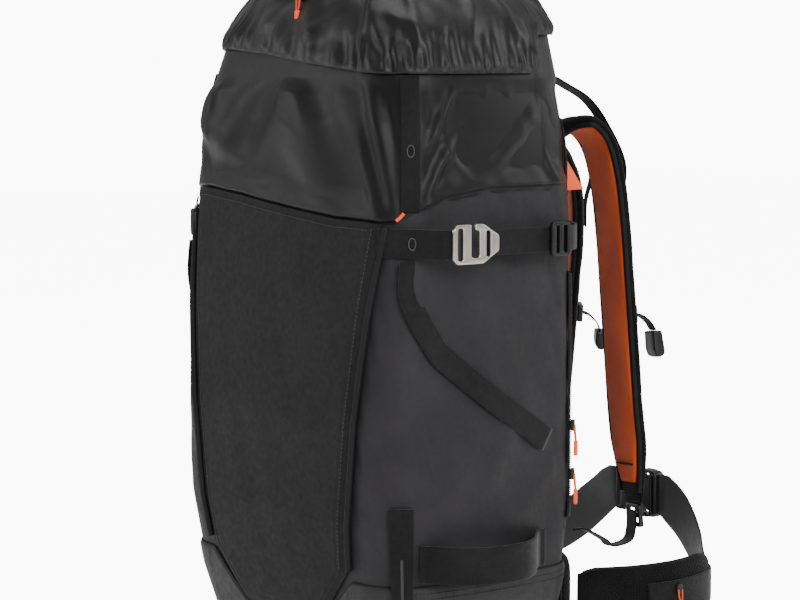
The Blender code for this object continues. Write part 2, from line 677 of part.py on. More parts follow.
# ---- harness --------------------------------------------------------------------------
class StrapFrame:
    """Places on one shoulder strap: out from the line through its two anchors.

    A place is (w, r, h): w across the strap towards the outside, r out from the line, and h
    the height of the foot of that r on the line.
    """

    def __init__(self, side, swing, reach):
        self.side = side
        self.reach = reach / 80.0
        y = BAG_BACK + 0.6 + PAD_THICK + ROOT_ROOM
        self.top = np.array([STRAP_TOP_X * side, y, STRAP_TOP_Z])
        self.low = np.array([STRAP_LOW_X * side, y, STRAP_LOW_Z])
        self.axis = unit(self.top - self.low)
        turn = Matrix.Rotation(math.radians(swing * side), 3, Vector(self.axis))
        self.out = unit(np.array(turn @ Vector((0.0, 1.0, 0.0))))
        self.across = unit(np.cross(self.out, self.axis)) * side

    def foot(self, h):
        share = (h - STRAP_LOW_Z) / (STRAP_TOP_Z - STRAP_LOW_Z)
        return self.low + share * (self.top - self.low)

    def place(self, w, r, h):
        return self.foot(h) + self.out * r + self.across * w

    def root_width(self, path, full):
        """Widths along a path: a point at the line, then wider by as much as it stands out."""
        out = np.array([np.dot(p - self.low, self.out) for p in path])
        return np.minimum(full, 2 * (ROOT_HALF + 0.95 * np.maximum(out, 0.0)))

    def line(self, points):
        """A path of (r, h) in the strap's own plane; r is scaled to this strap's reach."""
        return np.array([self.place(0.0, r * self.reach, h) for r, h in points])


def make_strap(word, frame):
    """Padded strap, ladder-lock, lower webbing, load lifter and sternum parts."""
    foot = frame.foot(STRAP_LOW_Z)
    route = ((0, 426), (6, 426), (16, 429), (32, 434), (51, 432), (68, 416), (77, 385), (80, 340),
             (80, 290), (80, 240), (80, 190), (82, 150), (81, 114))
    path = smooth(frame.line(route), 2)
    share = np.linspace(0, 1, len(path))
    width = frame.root_width(path, np.interp(share, (0, 0.88, 1.0), (STRAP_WIDTH, STRAP_WIDTH, 34)))
    thick = np.interp(share, (0, 0.1, 0.9, 1.0), (5, STRAP_THICK, STRAP_THICK, 6))
    band("shoulder_strap_" + word, path, frame.across, width, thick, "strap_lining", profile=8, origin=foot)

    reach = frame.reach
    r_end, h_end = 81.0 * reach, 114.0
    lock = frame.place(0.0, r_end, h_end - LADDER_LENGTH / 2 - 0.6)
    make_ladder("strap_ladder_" + word, lock, frame.across, frame.axis, foot)
    under = r_end - LADDER_THICK / 2 - SEAM_GAP - WEB_THICK / 2
    run = [(under, h_end - 6), (under, h_end - 14), (under - 1.2, h_end - 22), (under - 8 * reach, h_end - 31),
           (under - 30 * reach, h_end - 34), (26, h_end - 28), (9, STRAP_LOW_Z), (0, STRAP_LOW_Z)]
    path = smooth([frame.place(0.0, r, h) for r, h in run], 3)
    width = frame.root_width(path, WEB)
    band("strap_webbing_" + word, path, frame.across, width, WEB_THICK, "webbing", origin=foot)

    wall = BAG_BACK + 0.8
    x = frame.foot(LIFTER_Z)[0]
    box("lifter_buckle_" + word, (x - 13, wall, LIFTER_Z - 8), (x + 13, frame.top[1] - ROOT_ROOM, LIFTER_Z + 8),
        "plastic", 2.0)
    outer = STRAP_THICK / 2 + SEAM_GAP + 0.2 + WEB_THICK / 2
    lifter = [(0.0, LIFTER_Z), (6.0, LIFTER_Z), (28 * reach, LIFTER_Z - 8), (55 * reach, 453), (76 * reach, 431),
              (79 * reach + outer + 3.0, 400), (79 * reach + outer + 0.6, 372), (80 * reach + outer, 350)]
    path = smooth([frame.place(0.0, r, h) for r, h in lifter], 3)
    width = frame.root_width(path, WEB)
    band("load_lifter_" + word, path, frame.across, width, WEB_THICK, "webbing", origin=foot)

    r = 80 * reach + STRAP_THICK / 2 + SEAM_GAP
    seat = frame.place(0.0, r, STERNUM_Z)
    corners = [[frame.place(w, r + a, STERNUM_Z + b) for a, b in
                ((0, -8), (5, -6), (5, 6), (0, 8))] for w in (-11, 11)]
    loft("sternum_slider_" + word, corners, "plastic", seat)
    start = r + 5 + SEAM_GAP
    path = smooth([frame.place(0.0, start + a, STERNUM_Z + b) for a, b in
                   ((0, 0), (6, -2), (13, -8), (17, -15))], 3)
    band("sternum_web_" + word, path, frame.across, 14.0, 1.4, "webbing", origin=seat)
    end, tail = start + 17, STERNUM_Z - 15.6
    name, depth = ("whistle_buckle", 22.0) if word == "right" else ("sternum_plug", 16.0)
    corners = [[frame.place(w, end + a, tail + b) for a, b in
                ((-4, 0), (4, 0), (6, -depth + 4), (4, -depth), (-2, -depth), (-4, -depth + 6))] for w in (-10, 10)]
    made = loft(name, corners, "plastic", seat)
    if word == "right":
        mouth = [[frame.place(w, end + a, tail + b) for a, b in
                  ((-1.5, -depth + 11), (3.2, -depth + 11), (3.2, -depth - 9), (-1.5, -depth - 9))] for w in (-7, 7)]
        cut(made, loft("whistle_mouth", mouth, "plastic"))


def make_harness():
    for word, side, swing, reach in (("right", 1, RIGHT_SWING, RIGHT_REACH), ("left", -1, LEFT_SWING, LEFT_REACH)):
        make_strap(word, StrapFrame(side, swing, reach))


def make_hip_belt():
    """Padded wings at the lumbar pad, their webbing, and the two halves of the buckle."""
    root_x, root_y = WING_ROOT
    for word, side in SIDES:
        pivot = (root_x * side, root_y, WING_FLOOR)
        plan = ((root_x, root_y), (root_x + 11, root_y + 17), (root_x + 23, root_y + 48), (root_x + 26, root_y + 88),
                (root_x + 15, root_y + 128), (root_x - 8, root_y + 156))
        path = smooth([(x, y, WING_FLOOR + WING_HEIGHT / 2) for x, y in plan], 3)
        share = np.linspace(0, 1, len(path))
        height = np.interp(share, (0, 0.15, 0.75, 1), (WING_HEIGHT - 8, WING_HEIGHT, WING_HEIGHT, HIP_WEB + 6))
        thick = np.interp(share, (0, 0.1, 0.9, 1), (10, WING_THICK, WING_THICK, 7))
        band("hip_wing_" + word, on_side(path, side), UP, height, thick, "mesh_foam", profile=8, origin=pivot)
        tip = path[-1] + tangents(path)[-1] * 1.7
        run = [tip + tangents(path)[-1] * 5, tip + (-27, 19, 18), tip + (-52, 27, 40), tip + (-76, 28, 59)]
        end = run[-1] + (-8.0, 0.0, 0.0)
        belt = np.vstack([tip, smooth(run, 3), end])
        band("hip_webbing_" + word, on_side(belt, side), UP, HIP_WEB, WEB_THICK + 0.4, "grey_webbing",
             origin=pivot)
        if word == "right":
            make_socket(end, pivot)
        else:
            make_plug(end * (-1, 1, 1), pivot)


def make_socket(end, pivot):
    """Female half: a hollow block whose mouth faces the other half."""
    x, y, z = end
    made = box("hip_socket", (x - SOCKET_LENGTH - 0.5, y - 6.5, z - 22), (x - 0.5, y + 6.5, z + 22), "plastic", 0.0, pivot)
    cut(made, box("hip_mouth", (x - SOCKET_LENGTH - 9, y - 4, z - 18), (x - 9, y + 4, z + 18), "plastic"))
    soften(made, 1.5, 1)


def make_plug(end, pivot):
    """Male half: a block with a guide tongue and two spring prongs."""
    x, y, z = end
    depth = 3.0
    outline = ((0.5, -20), (12, -20), (13, -17.5), (PLUG_LENGTH, -15), (PLUG_LENGTH, -10), (15, -12), (15, -4),
               (PLUG_LENGTH, -3), (PLUG_LENGTH, 3), (15, 4), (15, 12), (PLUG_LENGTH, 10), (PLUG_LENGTH, 15),
               (13, 17.5), (12, 20), (0.5, 20))
    rings = [[(x + a, y + t, z + b) for a, b in outline] for t in (-depth, depth)]
    loft("hip_plug", rings, "plastic", pivot)


# ---- trim -----------------------------------------------------------------------------
def make_back_zip():
    """The zip down the right rear corner, with its two sliders, and the tag above it."""
    span = arc_span(BAG, ZIP_S, 200, ZIP_WIDTH)
    patch("back_zip", BAG, lambda _: (ZIP_S - span / 2, ZIP_S + span / 2), (BACK_ZIP_LOW, BACK_ZIP_TOP),
          ZIP_SEAT, ZIP_SEAT + ZIP_THICK, "webbing", across=3, up=8)
    track = ZIP_SEAT + ZIP_THICK + SEAM_GAP
    for word, z in (("upper", 192.0), ("lower", 152.0)):
        seat = BAG.at(ZIP_S, z, track)
        out = BAG.at(ZIP_S, z, track + 1.0) - seat
        slider("back_zip_slider_" + word, seat, out, (0.0, 0.0, -1.0))
    seat = BAG.at(ZIP_S + 0.12, TAG_Z, 0.9)
    out = BAG.at(ZIP_S + 0.12, TAG_Z, 1.9) - seat
    side = np.cross(out, UP)
    outline = ((0, 13), (0, -11), (13, -10))
    rings = [[seat + out * a + np.array(UP) * b + side * w for a, b in outline] for w in (-0.9, 0.9)]
    loft("side_tag", rings, "orange_trim")


def make_hip_zip():
    """The pull of the pocket on the right hip wing."""
    root_x, root_y = WING_ROOT
    seat = np.array([root_x + 26 + WING_THICK / 2 + 0.5, root_y + 84, WING_FLOOR + 36])
    slider("hip_zip_slider", seat, (1.0, 0.0, 0.0), (0.0, 0.0, -1.0))


def stand_at_origin():
    """Moves everything so that the middle of the whole pack's box stands over the origin."""
    bpy.context.view_layer.update()
    solids = [ob for ob in bpy.data.objects if not ob.hide_render]
    corners = np.array([ob.matrix_world @ Vector(c) for ob in solids for c in ob.bound_box])
    low, high = corners.min(axis=0), corners.max(axis=0)
    shift = Vector(((low[0] + high[0]) / 2, (low[1] + high[1]) / 2, low[2]))
    for ob in bpy.data.objects:
        ob.location -= shift


def main():
    for old in list(bpy.data.objects):
        bpy.data.objects.remove(old, do_unlink=True)
    make_bag()
    make_front_panel()
    make_piping()
    make_base()
    make_lid()
    make_lid_liner()
    make_lid_zip()
    make_side_webbing()
    make_ski_straps()
    make_ski_loops()
    make_back()
    make_haul_loop()
    make_harness()
    make_hip_belt()
    make_back_zip()
    make_hip_zip()
    stand_at_origin()


main()
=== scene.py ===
# %% [markdown]
# # A ski touring backpack, finished
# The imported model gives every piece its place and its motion.  This lesson dresses it: each
# sewn panel becomes a curved sheet with folds, each strap a woven band with its own texture
# coordinates, and each buckle a rounded plate.  Lengths are in millimetres while a shape is
# worked out and become metres when its mesh is made.

# %% Load the frame
import math

import bmesh
import bpy
import mathutils
import numpy as np
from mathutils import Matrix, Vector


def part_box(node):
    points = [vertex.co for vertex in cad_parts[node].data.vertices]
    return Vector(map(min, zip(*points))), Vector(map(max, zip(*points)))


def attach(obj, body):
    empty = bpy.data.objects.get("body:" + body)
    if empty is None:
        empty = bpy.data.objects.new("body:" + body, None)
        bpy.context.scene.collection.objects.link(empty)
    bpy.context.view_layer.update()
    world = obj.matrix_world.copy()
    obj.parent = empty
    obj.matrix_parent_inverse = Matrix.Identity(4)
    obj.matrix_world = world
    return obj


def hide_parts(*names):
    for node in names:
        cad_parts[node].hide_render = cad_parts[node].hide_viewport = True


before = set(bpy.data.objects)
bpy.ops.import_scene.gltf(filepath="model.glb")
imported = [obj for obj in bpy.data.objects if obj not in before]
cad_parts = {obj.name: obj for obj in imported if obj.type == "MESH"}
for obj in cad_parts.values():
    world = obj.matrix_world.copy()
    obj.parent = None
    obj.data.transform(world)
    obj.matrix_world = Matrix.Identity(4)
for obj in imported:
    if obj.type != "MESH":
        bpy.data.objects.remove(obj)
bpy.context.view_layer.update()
MM = 0.001
TAU = 2 * math.pi

# %% [markdown]
# The bag's walls were laid out from a line 95 mm in front of its back wall.  The bag's own
# box says where that line lies now, so every shape below starts from it.

# %% The layout's own origin, and a node's box in millimetres
BAG_BACK = 95.0


def node_box(name):
    """Lowest and highest corner of a CAD node, in millimetres of the layout."""
    low, high = (np.array(corner, float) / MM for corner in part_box(name))
    return low - (0, SHIFT_Y, 0), high - (0, SHIFT_Y, 0)


SHIFT_Y = float(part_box("main_bag")[1][1]) / MM - BAG_BACK
BAG_HALF = 153.0
BAG_FRONT = 113.0
RIM = node_box("main_bag")[1][2]
print(f"layout origin at y = {SHIFT_Y:.1f} mm, bag rim at {RIM:.0f} mm")

# %% [markdown]
# ## Making meshes from arrays
# A sheet is a grid of points worked out all at once.  Its faces come from the grid's own
# numbering, and its texture coordinates are real distances along the sheet, in metres, so
# that a weave has the same size on every piece.

# %% Small helpers on arrays


def unit(v):
    """Vectors of length one."""
    v = np.asarray(v, float)
    return v / np.maximum(np.linalg.norm(v, axis=-1, keepdims=True), 1e-12)


def smoothstep(x, low=0.0, high=1.0):
    """0 below `low`, 1 above `high`, and an S curve between."""
    t = np.clip((np.asarray(x, float) - low) / (high - low), 0, 1)
    return t * t * (3 - 2 * t)


def quads(rows, columns, wrap_rows=False, wrap_columns=False):
    """Face corners of a rows x columns grid of points, as an array."""
    index = np.arange(rows * columns).reshape(rows, columns)
    if wrap_rows:
        index = np.vstack([index, index[:1]])
    if wrap_columns:
        index = np.hstack([index, index[:, :1]])
    corners = (index[:-1, :-1], index[:-1, 1:], index[1:, 1:], index[1:, :-1])
    return np.stack(corners, axis=-1).reshape(-1, 4)


def distances(grid, axis):
    """Running length along one axis of a grid of points."""
    step = np.linalg.norm(np.diff(grid, axis=axis), axis=-1)
    start = np.zeros_like(np.take(step, [0], axis=axis))
    return np.cumsum(np.concatenate([start, step], axis=axis), axis=axis)


def directions(path):
    """Unit vectors along a path."""
    return unit(np.gradient(np.asarray(path, float), axis=0))


print("a 3 x 4 grid has", len(quads(3, 4)), "faces, or", len(quads(3, 4, False, True)),
      "when its columns close")

# %% [markdown]
# Every piece is made in one place, so that each gets smooth shading, its texture
# coordinates, its finish and the body that it moves with.  A closed piece has to enclose a
# positive volume, which is how its faces are known to point outwards.

# %% From points to a finished piece


def build(name, points, faces, uv, finish, body, caps=()):
    """A mesh object from layout points (mm), with texture coordinates per point (mm)."""
    points = np.asarray(points, float).reshape(-1, 3) + (0, SHIFT_Y, 0)
    mesh = bpy.data.meshes.new(name)
    faces = faces if isinstance(faces, list) else faces.tolist()
    mesh.from_pydata((points * MM).tolist(), [], faces + [list(ring) for ring in caps])
    layer = mesh.uv_layers.new(name="cloth")
    order = np.zeros(len(mesh.loops), np.int32)
    mesh.loops.foreach_get("vertex_index", order)
    layer.data.foreach_set("uv", (np.asarray(uv, float).reshape(-1, 2)[order] * MM).ravel())
    mesh.shade_smooth()
    piece = bpy.data.objects.new(name, mesh)
    bpy.context.scene.collection.objects.link(piece)
    mesh.materials.append(FINISH[finish])
    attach(piece, body)
    return piece


def coordinates(mesh):
    """A mesh's vertices as an array."""
    co = np.zeros(len(mesh.vertices) * 3)
    mesh.vertices.foreach_get("co", co)
    return co.reshape(-1, 3)


def face_out(piece):
    """Turns a closed mesh's faces outwards: its signed volume has to be positive."""
    mesh = piece.data
    mesh.calc_loop_triangles()
    co = coordinates(mesh)
    tri = np.zeros(len(mesh.loop_triangles) * 3, np.int32)
    mesh.loop_triangles.foreach_get("vertices", tri)
    a, b, c = (co[tri.reshape(-1, 3)[:, k]] for k in range(3))
    if np.einsum("ij,ij->i", a, np.cross(b, c)).sum() < 0:
        mesh.flip_normals()
    return piece


def dress(slot, *pieces, stands_for=None):
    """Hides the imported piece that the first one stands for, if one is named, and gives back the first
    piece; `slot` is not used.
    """
    if stands_for:
        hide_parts(stands_for)
    return pieces[0]


def hollow(name, rings, finish, body):
    """A closed skin through rings of points: out over the outside and back over the inside."""
    rows, columns = rings.shape[:2]
    uv = np.stack([distances(rings, 1), distances(rings, 0)], axis=-1)
    first, last = list(range(columns)), list(range((rows - 1) * columns, rows * columns))
    return face_out(build(name, rings, quads(rows, columns, False, True), uv, finish, body,
                          [first[::-1], last]))


def slab(name, inner, outer, finish, body):
    """A closed sheet between two grids of points, with its rim."""
    rows, columns = outer.shape[:2]
    size = rows * columns
    index = np.arange(size).reshape(rows, columns)
    rim = np.concatenate([index[0], index[1:, -1], index[-1, -2::-1], index[-2:0:-1, 0]])
    ring = np.roll(rim, -1)
    sides = np.stack([rim, ring, size + ring, size + rim], axis=-1)
    faces = np.vstack([quads(rows, columns), size + quads(rows, columns)[:, ::-1], sides])
    uv = np.stack([distances(outer, 1), distances(outer, 0)], axis=-1).reshape(-1, 2)
    return face_out(build(name, np.concatenate([inner.reshape(-1, 3), outer.reshape(-1, 3)]),
                          faces, np.concatenate([uv, uv]), finish, body))


print("pieces can be built, dressed, hollow or slabs")

# %% [markdown]
# ## Bands, cords and thread
# Webbing, padding and rolled edges are all a profile carried along a line.  Webbing has a
# flat profile with tight edges, padding a fuller one, and a cord a round one.

# %% Profiles and a smooth line


def pillow_profile(count=20, power=3.2):
    """A rounded oblong outline: a superellipse of half sizes 0.5, as `count` points."""
    turn = np.linspace(0, TAU, count, endpoint=False) + TAU / count / 2
    c, s = np.cos(turn), np.sin(turn)
    x, y = np.sign(c) * np.abs(c) ** (2 / power), np.sign(s) * np.abs(s) ** (2 / power)
    return 0.5 * np.stack([x, y], axis=-1)


WEB_EDGE = pillow_profile(16, 5.0)
PAD_EDGE = pillow_profile(28, 2.8)
ROUND_EDGE = pillow_profile(10, 2.0)


def curve_through(points, per_span=8):
    """A Catmull-Rom curve through a few points, all spans at once.

    Between b and c it is (2b + (c - a) t + (2a - 5b + 4c - d) t^2 + (3b - a - 3c + d) t^3) / 2.
    """
    p = np.asarray(points, float)
    p = np.vstack([2 * p[0] - p[1], p, 2 * p[-1] - p[-2]])
    t = np.linspace(0, 1, per_span, endpoint=False)[None, :, None]
    a, b, c, d = (p[k:len(p) - 3 + k, None, :] for k in range(4))
    line = 0.5 * (2 * b + (c - a) * t + (2 * a - 5 * b + 4 * c - d) * t ** 2 + (3 * b - a - 3 * c + d)
                  * t ** 3)
    return np.vstack([line.reshape(-1, p.shape[1]), p[-2]])


def spread(value, count):
    """A number or a few numbers, spread evenly along `count` steps."""
    value = np.atleast_1d(np.asarray(value, float))
    return np.interp(np.linspace(0, 1, count), np.linspace(0, 1, len(value)), value)


print("profiles of", len(WEB_EDGE), len(PAD_EDGE), "and", len(ROUND_EDGE), "points")

# %% [markdown]
# A band keeps its profile square to the line that it follows.  Its ribs come from the
# running length, so they don't stretch where it bends.

# %% Bands and cords along a path


def strip(name, path, across, width, thick, finish, body, edge=None, wrap=False, rise=None):
    """A profile carried along a path.

    At each step the ring is path + across * x * width + normal * y * thick, where (x, y) runs
    round the profile.  `rise` moves points along the normal: one row per step, one column
    per profile point.
    """
    edge = WEB_EDGE if edge is None else edge
    path = np.asarray(path, float)
    count = len(path)
    along = directions(path) if not wrap else unit(np.roll(path, -1, 0) - np.roll(path, 1, 0))
    across = np.broadcast_to(np.asarray(across, float), path.shape)
    across = unit(across - along * np.sum(across * along, axis=1, keepdims=True))
    normal = np.cross(along, across)
    x = edge[None, :, 0] * spread(width, count)[:, None]
    y = edge[None, :, 1] * spread(thick, count)[:, None]
    if rise is not None:
        y = y + rise
    rings = path[:, None] + across[:, None] * x[..., None] + normal[:, None] * y[..., None]
    run = distances(path[:, None], 0)[:, 0]
    uv = np.stack(np.meshgrid(run, x[count // 2], indexing="ij"), axis=-1)
    size = len(edge)
    caps = () if wrap else (range(size), range((count - 1) * size, count * size))
    return face_out(build(name, rings, quads(count, size, wrap, True), uv, finish, body,
                          [list(caps[0])[::-1], list(caps[1])] if caps else ()))


def tube(name, path, width, finish, body, wrap=False):
    """A round cord or rolled edge along a path."""
    path = np.asarray(path, float)
    along = directions(path)
    helper = np.where(np.abs(along[:, 2:]) > 0.9, [[1.0, 0, 0]], [[0, 0, 1.0]])
    return strip(name, path, np.cross(along, helper), width, width, finish, body, ROUND_EDGE, wrap)


print("bands and cords can be made")

# %% [markdown]
# A seam shows its thread as a row of short beads, each sunk at both ends where the needle
# went through.

# %% Stitches along a seam


def stitch_row(name, path, normal, body, pitch=3.4, length=2.3, size=0.55, finish="thread"):
    """Thread along a seam: one short six-sided bead for each stitch."""
    path = np.asarray(path, float)
    run = distances(path[:, None], 0)[:, 0]
    at = np.arange(pitch / 2, run[-1] - pitch / 2, pitch)
    middle = np.stack([np.interp(at, run, path[:, k]) for k in range(3)], axis=-1)
    along = unit(np.stack([np.interp(at, run, directions(path)[:, k]) for k in range(3)], axis=-1))
    normal = np.broadcast_to(np.asarray(normal, float), path.shape)
    up = unit(np.stack([np.interp(at, run, normal[:, k]) for k in range(3)], axis=-1))
    side = np.cross(along, up)
    turn = np.arange(6) * TAU / 6
    reach = np.array([-0.5, -0.36, 0.36, 0.5]) * length
    girth = np.array([0.25, 1.0, 1.0, 0.25]) * size
    ring = (np.cos(turn)[:, None, None] * side[:, None, None] + np.sin(turn)[:, None, None]
            * up[:, None, None])
    points = (middle[:, None, None] + along[:, None, None] * reach[None, :, None, None]
              + ring.reshape(len(at), 1, 6, 3) * girth[None, :, None, None])
    one = quads(4, 6, False, True)
    faces = (np.arange(len(at))[:, None, None] * 24 + one[None]).reshape(-1, 4)
    caps = [list(range(k * 24, k * 24 + 6))[::-1] for k in range(len(at))]
    caps += [list(range(k * 24 + 18, k * 24 + 24)) for k in range(len(at))]
    uv = np.zeros((len(at) * 24, 2))
    return face_out(build(name, points, faces, uv, finish, body, caps))


print("a stitch is 2.3 mm long, one every 3.4 mm")

# %% [markdown]
# ## Finishes
# Every cloth here is a weave: threads crossing at a known spacing.  One node group draws
# that relief from the piece's own distances, and a second one adds the uneven tone that
# handling leaves.  Each material places both with its own numbers.

# %% Node helpers


def new_group(name, inputs, outputs):
    """A shader node group with named float, colour or vector sockets."""
    group = bpy.data.node_groups.new(name, "ShaderNodeTree")
    for word, kind, value in inputs:
        socket = group.interface.new_socket(name=word, in_out="INPUT", socket_type="NodeSocket" + kind)
        if value is not None:
            socket.default_value = value
    for word, kind in outputs:
        group.interface.new_socket(name=word, in_out="OUTPUT", socket_type="NodeSocket" + kind)
    return group, group.nodes.new("NodeGroupInput"), group.nodes.new("NodeGroupOutput")


def maths(tree, operation, a, b=None, c=None):
    """A Math node fed by sockets or numbers; gives its output socket."""
    node = tree.nodes.new("ShaderNodeMath")
    node.operation = operation
    for slot, value in enumerate((a, b, c)):
        if value is None:
            continue
        if isinstance(value, bpy.types.NodeSocket):
            tree.links.new(value, node.inputs[slot])
        else:
            node.inputs[slot].default_value = value
    return node.outputs[0]


print("groups take sockets that are named for what they do")

# %% [markdown]
# Warp and weft pass over each other in turn.  Webbing has its ribs along one way only, so
# the weave can be blended towards plain ribs.

# %% The weave and the uneven tone


def weave_group():
    """Relief of crossing threads: |sin| of each direction, the higher thread on top.

    Over and under swap like a chessboard, so warp and weft show in turn.
    """
    group, given, result = new_group(
        "thread_weave", (("Along", "Float", 2000.0), ("Across", "Float", 2000.0), ("Rib", "Float", 0.0)),
        (("Height", "Float"),))
    where = group.nodes.new("ShaderNodeUVMap")
    split = group.nodes.new("ShaderNodeSeparateXYZ")
    group.links.new(where.outputs[0], split.inputs[0])
    u = maths(group, "MULTIPLY", split.outputs[0], given.outputs["Along"])
    v = maths(group, "MULTIPLY", split.outputs[1], given.outputs["Across"])
    warp = maths(group, "ABSOLUTE", maths(group, "SINE", maths(group, "MULTIPLY", v, math.pi)))
    weft = maths(group, "ABSOLUTE", maths(group, "SINE", maths(group, "MULTIPLY", u, math.pi)))
    cell = maths(group, "ADD", maths(group, "FLOOR", u), maths(group, "FLOOR", v))
    over = maths(group, "PINGPONG", cell, 1.0)
    first = maths(group, "MULTIPLY", warp, maths(group, "MULTIPLY_ADD", over, 0.5, 0.5))
    second = maths(group, "MULTIPLY", weft, maths(group, "MULTIPLY_ADD", over, -0.5, 1.0))
    cloth = maths(group, "MAXIMUM", first, second)
    mix = group.nodes.new("ShaderNodeMix")
    group.links.new(given.outputs["Rib"], mix.inputs[0])
    group.links.new(cloth, mix.inputs[2])
    group.links.new(warp, mix.inputs[3])
    group.links.new(mix.outputs[0], result.inputs[0])
    return group


def tone_group():
    """Slow and fine unevenness of a used surface, 0 to 1, from two noises in metres."""
    group, given, result = new_group(
        "handled_tone", (("Patch size", "Float", 18.0), ("Fine size", "Float", 220.0)),
        (("Tone", "Float"), ("Fine", "Float")))
    place = group.nodes.new("ShaderNodeTexCoord")
    for word, socket in (("Patch size", 0), ("Fine size", 1)):
        noise = group.nodes.new("ShaderNodeTexNoise")
        noise.inputs["Detail"].default_value = 3.0
        group.links.new(place.outputs["Object"], noise.inputs["Vector"])
        group.links.new(given.outputs[word], noise.inputs["Scale"])
        group.links.new(noise.outputs[0], result.inputs[socket])
    return group


WEAVE = weave_group()
TONE = tone_group()
print("shared groups:", WEAVE.name, "and", TONE.name)

# %% [markdown]
# A material is the same few parts each time, so one function puts it together: two colours
# mixed by the slow noise, roughness moved by the fine one, and both reliefs as a bump.

# %% One recipe for a material
FINISH = {}


def placed(tree, group, **values):
    """A group node with its inputs set."""
    node = tree.nodes.new("ShaderNodeGroup")
    node.node_tree = group
    for word, value in values.items():
        node.inputs[word.replace("_", " ")].default_value = value
    return node


def ramp_between(tree, factor, low, high, start=0.35, end=0.65):
    """A colour that goes from `low` to `high` as the factor crosses the two stops."""
    node = tree.nodes.new("ShaderNodeValToRGB")
    node.color_ramp.elements[0].position = start
    node.color_ramp.elements[1].position = end
    node.color_ramp.elements[0].color = (*low, 1)
    node.color_ramp.elements[1].color = (*high, 1)
    tree.links.new(factor, node.inputs[0])
    return node.outputs[0]


def range_between(tree, factor, low, high):
    """A number that goes from `low` to `high` as the factor goes from 0.3 to 0.7."""
    node = tree.nodes.new("ShaderNodeMapRange")
    node.inputs["From Min"].default_value = 0.3
    node.inputs["From Max"].default_value = 0.7
    node.inputs["To Min"].default_value = low
    node.inputs["To Max"].default_value = high
    tree.links.new(factor, node.inputs["Value"])
    return node.outputs[0]


def finish_of(name, dark, light, rough, depth=0.0, threads=(2000, 2000), rib=0.0, metal=0.0,
              patch=18.0, fine=220.0, grain=0.0, sheen=0.0, coat=0.0, specular=0.3):
    """A Principled material: tone between two colours, uneven roughness, weave and grain relief.

    `depth` is the height of a thread and `grain` that of the fine noise, both in millimetres.
    """
    made = bpy.data.materials.new(name)
    made.use_nodes = True
    tree = made.node_tree
    shader = tree.nodes["Principled BSDF"]
    tone = placed(tree, TONE, Patch_size=patch, Fine_size=fine)
    tree.links.new(ramp_between(tree, tone.outputs["Tone"], dark, light), shader.inputs["Base Color"])
    tree.links.new(range_between(tree, tone.outputs["Fine"], rough[0], rough[1]), shader.inputs["Roughness"])
    shader.inputs["Metallic"].default_value = metal
    shader.inputs["Sheen Weight"].default_value = sheen
    shader.inputs["Sheen Roughness"].default_value = 0.4
    shader.inputs["Coat Weight"].default_value = coat
    shader.inputs["Specular IOR Level"].default_value = specular
    height = maths(tree, "MULTIPLY", tone.outputs["Fine"], grain)
    if depth:
        weave = placed(tree, WEAVE, Along=float(threads[0]), Across=float(threads[1]), Rib=rib)
        height = maths(tree, "MULTIPLY_ADD", weave.outputs[0], depth, height)
    bump = tree.nodes.new("ShaderNodeBump")
    bump.inputs["Distance"].default_value = MM
    bump.inputs["Strength"].default_value = 1.0
    tree.links.new(height, bump.inputs["Height"])
    tree.links.new(bump.outputs[0], shader.inputs["Normal"])
    FINISH[name] = made


print("materials take a dark and a light tone, a roughness range and a weave")

# %% [markdown]
# Black gear cloth is never one black: coated nylon on the top shines, the stiff panel is
# matt and a little warmer, the base is greyer, and webbing is ribbed along its length.

# %% The cloths, webbings, plastics and metals
finish_of("coated_nylon", (0.0022, 0.0021, 0.0024), (0.0042, 0.004, 0.0044), (0.29, 0.39),
          depth=0.05, threads=(1700, 1700), grain=0.05, specular=0.17)
finish_of("lid_nylon", (0.0015, 0.0015, 0.0016), (0.003, 0.0029, 0.0031), (0.31, 0.41),
          depth=0.04, threads=(1700, 1700), grain=0.05, specular=0.25)
finish_of("panel_cloth", (0.0048, 0.0044, 0.0046), (0.007, 0.0063, 0.0067), (0.6, 0.74),
          depth=0.05, threads=(1500, 1500), grain=0.08, specular=0.165)
finish_of("side_cloth", (0.011, 0.01, 0.0112), (0.016, 0.0146, 0.0162), (0.52, 0.66),
          depth=0.06, threads=(1300, 1300), grain=0.08, specular=0.18)
finish_of("base_cloth", (0.011, 0.0107, 0.0108), (0.018, 0.0174, 0.0176), (0.45, 0.62),
          depth=0.12, threads=(800, 800), grain=0.1, specular=0.22)
finish_of("webbing", (0.0035, 0.0033, 0.0035), (0.007, 0.0067, 0.007), (0.62, 0.8),
          depth=0.22, threads=(450, 620), rib=0.55, grain=0.1, specular=0.12, sheen=0.1)
finish_of("belt_webbing", (0.016, 0.0155, 0.0155), (0.024, 0.023, 0.0235), (0.42, 0.56),
          depth=0.12, threads=(700, 900), rib=0.35, grain=0.05, sheen=0.1, specular=0.3)
finish_of("binding", (0.0022, 0.0022, 0.0023), (0.0045, 0.0044, 0.0046), (0.6, 0.8),
          depth=0.12, threads=(900, 900), rib=0.2, grain=0.1, specular=0.15)
finish_of("spacer_mesh", (0.001, 0.001, 0.0011), (0.004, 0.0039, 0.0041), (0.7, 0.9),
          depth=0.45, threads=(420, 420), grain=0.25, fine=500.0, specular=0.08, sheen=0.05)
finish_of("orange_lining", (0.42, 0.05, 0.007), (0.58, 0.082, 0.013), (0.76, 0.9),
          depth=0.16, threads=(900, 900), rib=0.3, patch=14.0, grain=0.2, specular=0.1, sheen=0.08)
finish_of("orange_trim", (0.7, 0.06, 0.012), (0.84, 0.09, 0.02), (0.4, 0.55), grain=0.05, specular=0.25)
finish_of("orange_tape", (0.6, 0.055, 0.01), (0.74, 0.08, 0.016), (0.55, 0.7),
          depth=0.15, threads=(900, 900), grain=0.1, specular=0.15)
